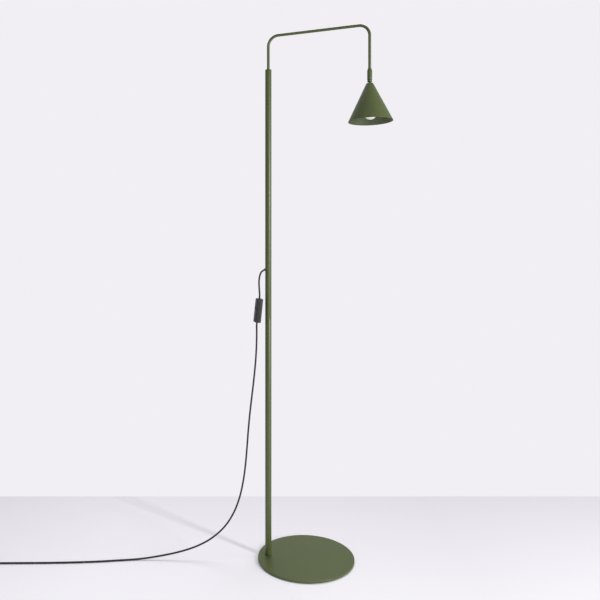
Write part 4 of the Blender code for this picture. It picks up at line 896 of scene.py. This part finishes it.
def make_plug():
    rear = POLE + Vector((-0.84143, -0.0437, 0.0070))
    place = Matrix.LocRotScale(rear, Euler((0.0, 0.0, math.pi / 2 + VIEW_ANGLE)), None)
    side = [(0.0, 0.0045), (0.009, 0.0055)]
    for step in range(9):
        share = step / 8
        ease = share * share * (3 - 2 * share)
        side.append((0.0115 + 0.0195 * share, 0.0057 + (PLUG_HALF_WIDTH - 0.0057) * ease))
    side.append((PLUG_LENGTH, PLUG_HALF_WIDTH))
    outline = side + [(x, -y) for x, y in reversed(side)]
    body = prism("plug_body_moulded", outline, PLUG_HEIGHT)
    holes = []
    for sign in (1, -1):
        lying = Matrix.Translation((0.0, sign * PIN_SPACING / 2, 0.0)) @ Matrix.Rotation(math.pi / 2, 4, "Y")
        seat_bottom, seat_top = PLUG_LENGTH - 0.0083, PLUG_LENGTH + 0.002
        holes.append(cylinder("pin_seat", PIN_RADIUS + GAP, seat_bottom, seat_top, lying, 24))
    for number in range(4):
        at = 0.012 + 0.0038 * number
        for sign in (1, -1):
            holes.append(block("grip", (0.0014, 0.020, 0.0012), (at, 0.0, sign * PLUG_HEIGHT / 2), Matrix()))
    made = baked(body, 0.0022, 5, 40.0, holes)
    made.transform(place)
    piece = link("plug_body_moulded", made, material("black_plastic"), "stand")
    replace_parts(piece, "plug_body")
    pieces = [piece]
    for number, sign in ((1, 1), (2, -1)):
        beside = Matrix.Translation((0.0, sign * PIN_SPACING / 2, 0.0))
        lying = place @ beside @ Matrix.Rotation(math.pi / 2, 4, "Y")
        start, tip = PLUG_LENGTH - 0.008, PLUG_LENGTH + PIN_LENGTH
        outline = rounded([(0.0, start), (PIN_RADIUS, start), (PIN_RADIUS, tip), (0.0, tip)], {2: 0.0014}, 6)
        name = "plug_pin_turned_%d" % number
        pin = link(name, lathe(name, outline, lying, 32), material("nickel"), "stand")
        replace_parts(pin, "plug_pin_%d" % number)
        pieces.append(pin)
    return pieces


def make_tie():
    """A strap round the coil's section."""
    centre = middle("coil_tie")
    wide = 0.006
    thick = 0.0008
    half_across = 0.00655
    half_up = 0.00645
    loop = []
    corner = 0.0022
    for cx, cz, start in ((1, 1, 0.0), (-1, 1, 90.0), (-1, -1, 180.0), (1, -1, 270.0)):
        for step in range(6):
            angle = math.radians(start + 18.0 * step)
            loop.append((cx * (half_across - corner) + corner * math.cos(angle),
                         cz * (half_up - corner) + corner * math.sin(angle)))
    rings = []
    for sideways in (-wide / 2, wide / 2):
        rings.append([(sideways, x, z) for x, z in loop])
    inner = [((half_across - thick) / half_across * x, (half_up - thick) / half_up * z) for x, z in loop]
    for sideways in (wide / 2, -wide / 2):
        rings.append([(sideways, x, z) for x, z in inner])
    mesh = from_rings("coil_tie_strap", [[Vector(p) for p in ring] for ring in rings], True, False)
    mesh.transform(Matrix.Translation(centre) @ Matrix.Rotation(VIEW_ANGLE, 4, "Z"))
    piece = link("coil_tie_strap", mesh, material("black_plastic"), "stand")
    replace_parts(piece, "coil_tie")
    return piece


# ---------------------------------------------------------------- floor, backdrop and light
FLOOR_BEHIND_POLE = 0.445
# The floor's colour holds painted shade: darker towards the far edge, and darker on the right to even out the
# lamps' stronger light there.
FLOOR_LEFT = -0.60
FLOOR_RIGHT = 0.45
FLOOR_PAINTED_SHADE_FADE = 0.70
FLOOR_FAR_PAINTED_SHADE = (0.815, 0.79, 0.84)
FLOOR_NEAR_PAINTED_LIGHT = (0.95, 0.935, 0.97)
FLOOR_RIGHT_PAINTED_SHADE = (0.84, 0.84, 0.84)
BACKDROP = (0.880, 0.863, 0.904)


def make_floor():
    """A pale floor that ends behind the lamp; its colour holds painted shade, darker towards the far edge and
    darker on the right, where the lamps light it more.
    """
    edge = POLE + BACK * FLOOR_BEHIND_POLE - UP * 0.0002
    wide, deep = 6.0, 7.0
    corners = [edge - RIGHT * wide - BACK * deep, edge + RIGHT * wide - BACK * deep,
               edge + RIGHT * wide, edge - RIGHT * wide]
    mesh = bpy.data.meshes.new("floor")
    mesh.from_pydata([tuple(corner) for corner in corners], [], [(0, 1, 2, 3)])
    floor = bpy.data.objects.new("floor", mesh)
    bpy.context.scene.collection.objects.link(floor)
    made = Nodes("floor_paint")
    depth = made.node("ShaderNodeVectorMath", operation="DOT_PRODUCT")
    depth.inputs[1].default_value = -BACK
    made.wire(made.place, depth.inputs[0])
    start = -edge.dot(BACK)
    # painted shade: the floor's colour darkens towards the far edge
    shade = made.colours(made.between(depth.outputs["Value"], 0.0, 1.0, start, start + FLOOR_PAINTED_SHADE_FADE),
                         FLOOR_FAR_PAINTED_SHADE, FLOOR_NEAR_PAINTED_LIGHT, 0.0, 1.0)
    across = made.node("ShaderNodeVectorMath", operation="DOT_PRODUCT")
    across.inputs[1].default_value = RIGHT
    made.wire(made.place, across.inputs[0])
    # painted shade: the floor's colour darkens towards the right, where the lamps light it more
    side = made.colours(made.between(across.outputs["Value"], 0.0, 1.0, FLOOR_LEFT, FLOOR_RIGHT),
                        (1.0, 1.0, 1.0), FLOOR_RIGHT_PAINTED_SHADE, 0.0, 1.0)
    blend = made.node("ShaderNodeMix", data_type="RGBA", blend_type="MULTIPLY")
    blend.inputs["Factor"].default_value = 1.0
    made.wire(shade, blend.inputs[6])
    made.wire(side, blend.inputs[7])
    made.wire(blend.outputs[2], made.shader.inputs["Base Color"])
    made.shader.inputs["Roughness"].default_value = 0.8
    floor.data.materials.append(made.material)


def area_light(name, place, target, size, power, colour=(1.0, 1.0, 1.0)):
    data = bpy.data.lights.new(name, "AREA")
    data.shape = "RECTANGLE"
    data.size, data.size_y = size
    data.energy = power
    data.color = colour
    light = bpy.data.objects.new(name, data)
    light.location = place
    light.rotation_euler = (Vector(target) - Vector(place)).to_track_quat("-Z", "Y").to_euler()
    bpy.context.scene.collection.objects.link(light)


def make_light():
    world = bpy.data.worlds.new("studio")
    bpy.context.scene.world = world
    world.use_nodes = True
    tree = world.node_tree
    seen = tree.nodes["Background"]
    seen.inputs["Color"].default_value = (*BACKDROP, 1.0)
    room = tree.nodes.new("ShaderNodeBackground")
    room.inputs["Color"].default_value = (0.97, 0.97, 1.0, 1.0)
    room.inputs["Strength"].default_value = ROOM_LIGHT
    pick = tree.nodes.new("ShaderNodeMixShader")
    path = tree.nodes.new("ShaderNodeLightPath")
    tree.links.new(path.outputs["Is Camera Ray"], pick.inputs["Fac"])
    tree.links.new(room.outputs["Background"], pick.inputs[1])
    tree.links.new(seen.outputs["Background"], pick.inputs[2])
    tree.links.new(pick.outputs["Shader"], tree.nodes["World Output"].inputs["Surface"])
    area_light("top_softbox", (0.0, 1.2, 3.2), (0.0, 0.0, 0.2), (1.8, 1.6), TOP_POWER)
    strip_place, strip_target = from_pole(49.0, 5.5, 3.4, 1.02)
    area_light("strip_softbox", strip_place, strip_target, (0.30, 1.75), STRIP_POWER)
    side_place, side_target = from_pole(85.0, 8.0, 3.4, 0.9)
    area_light("side_softbox", side_place, side_target, (1.2, 2.4), SIDE_POWER)


def from_pole(turn, rise, distance, height):
    """A place round the pole, turned to the right of the camera's side, and the point it faces."""
    turn, rise = math.radians(turn), math.radians(rise)
    way = (RIGHT * math.sin(turn) - BACK * math.cos(turn)) * math.cos(rise) + UP * math.sin(rise)
    target = POLE + UP * height
    return target + way * distance, target


ROOM_LIGHT = 0.43
TOP_POWER = 49.0
STRIP_POWER = 90.0
SIDE_POWER = 15.0


# ---------------------------------------------------------------- build
bpy.context.scene.view_settings.view_transform = "Standard"
make_camera()
FINISH = {}
PACKED_NAMES = [part["material_slot"] for part in frame["record"]["subparts"]]
for packed in bpy.data.materials[:]:
    packed.name = "packed_" + packed.name
make_materials()
for slot_name in set(PACKED_NAMES):
    FINISH[slot_name] = slot_name
cords = make_cords()
repaint_frame()
relief = make_relief()
switch = make_switch()
plug = make_plug()
tie = make_tie()
make_base()
make_pole()
make_arm()
make_swivel()
make_ball_stud()
make_shade()
make_holder()
make_bulb()
make_floor()
make_light()
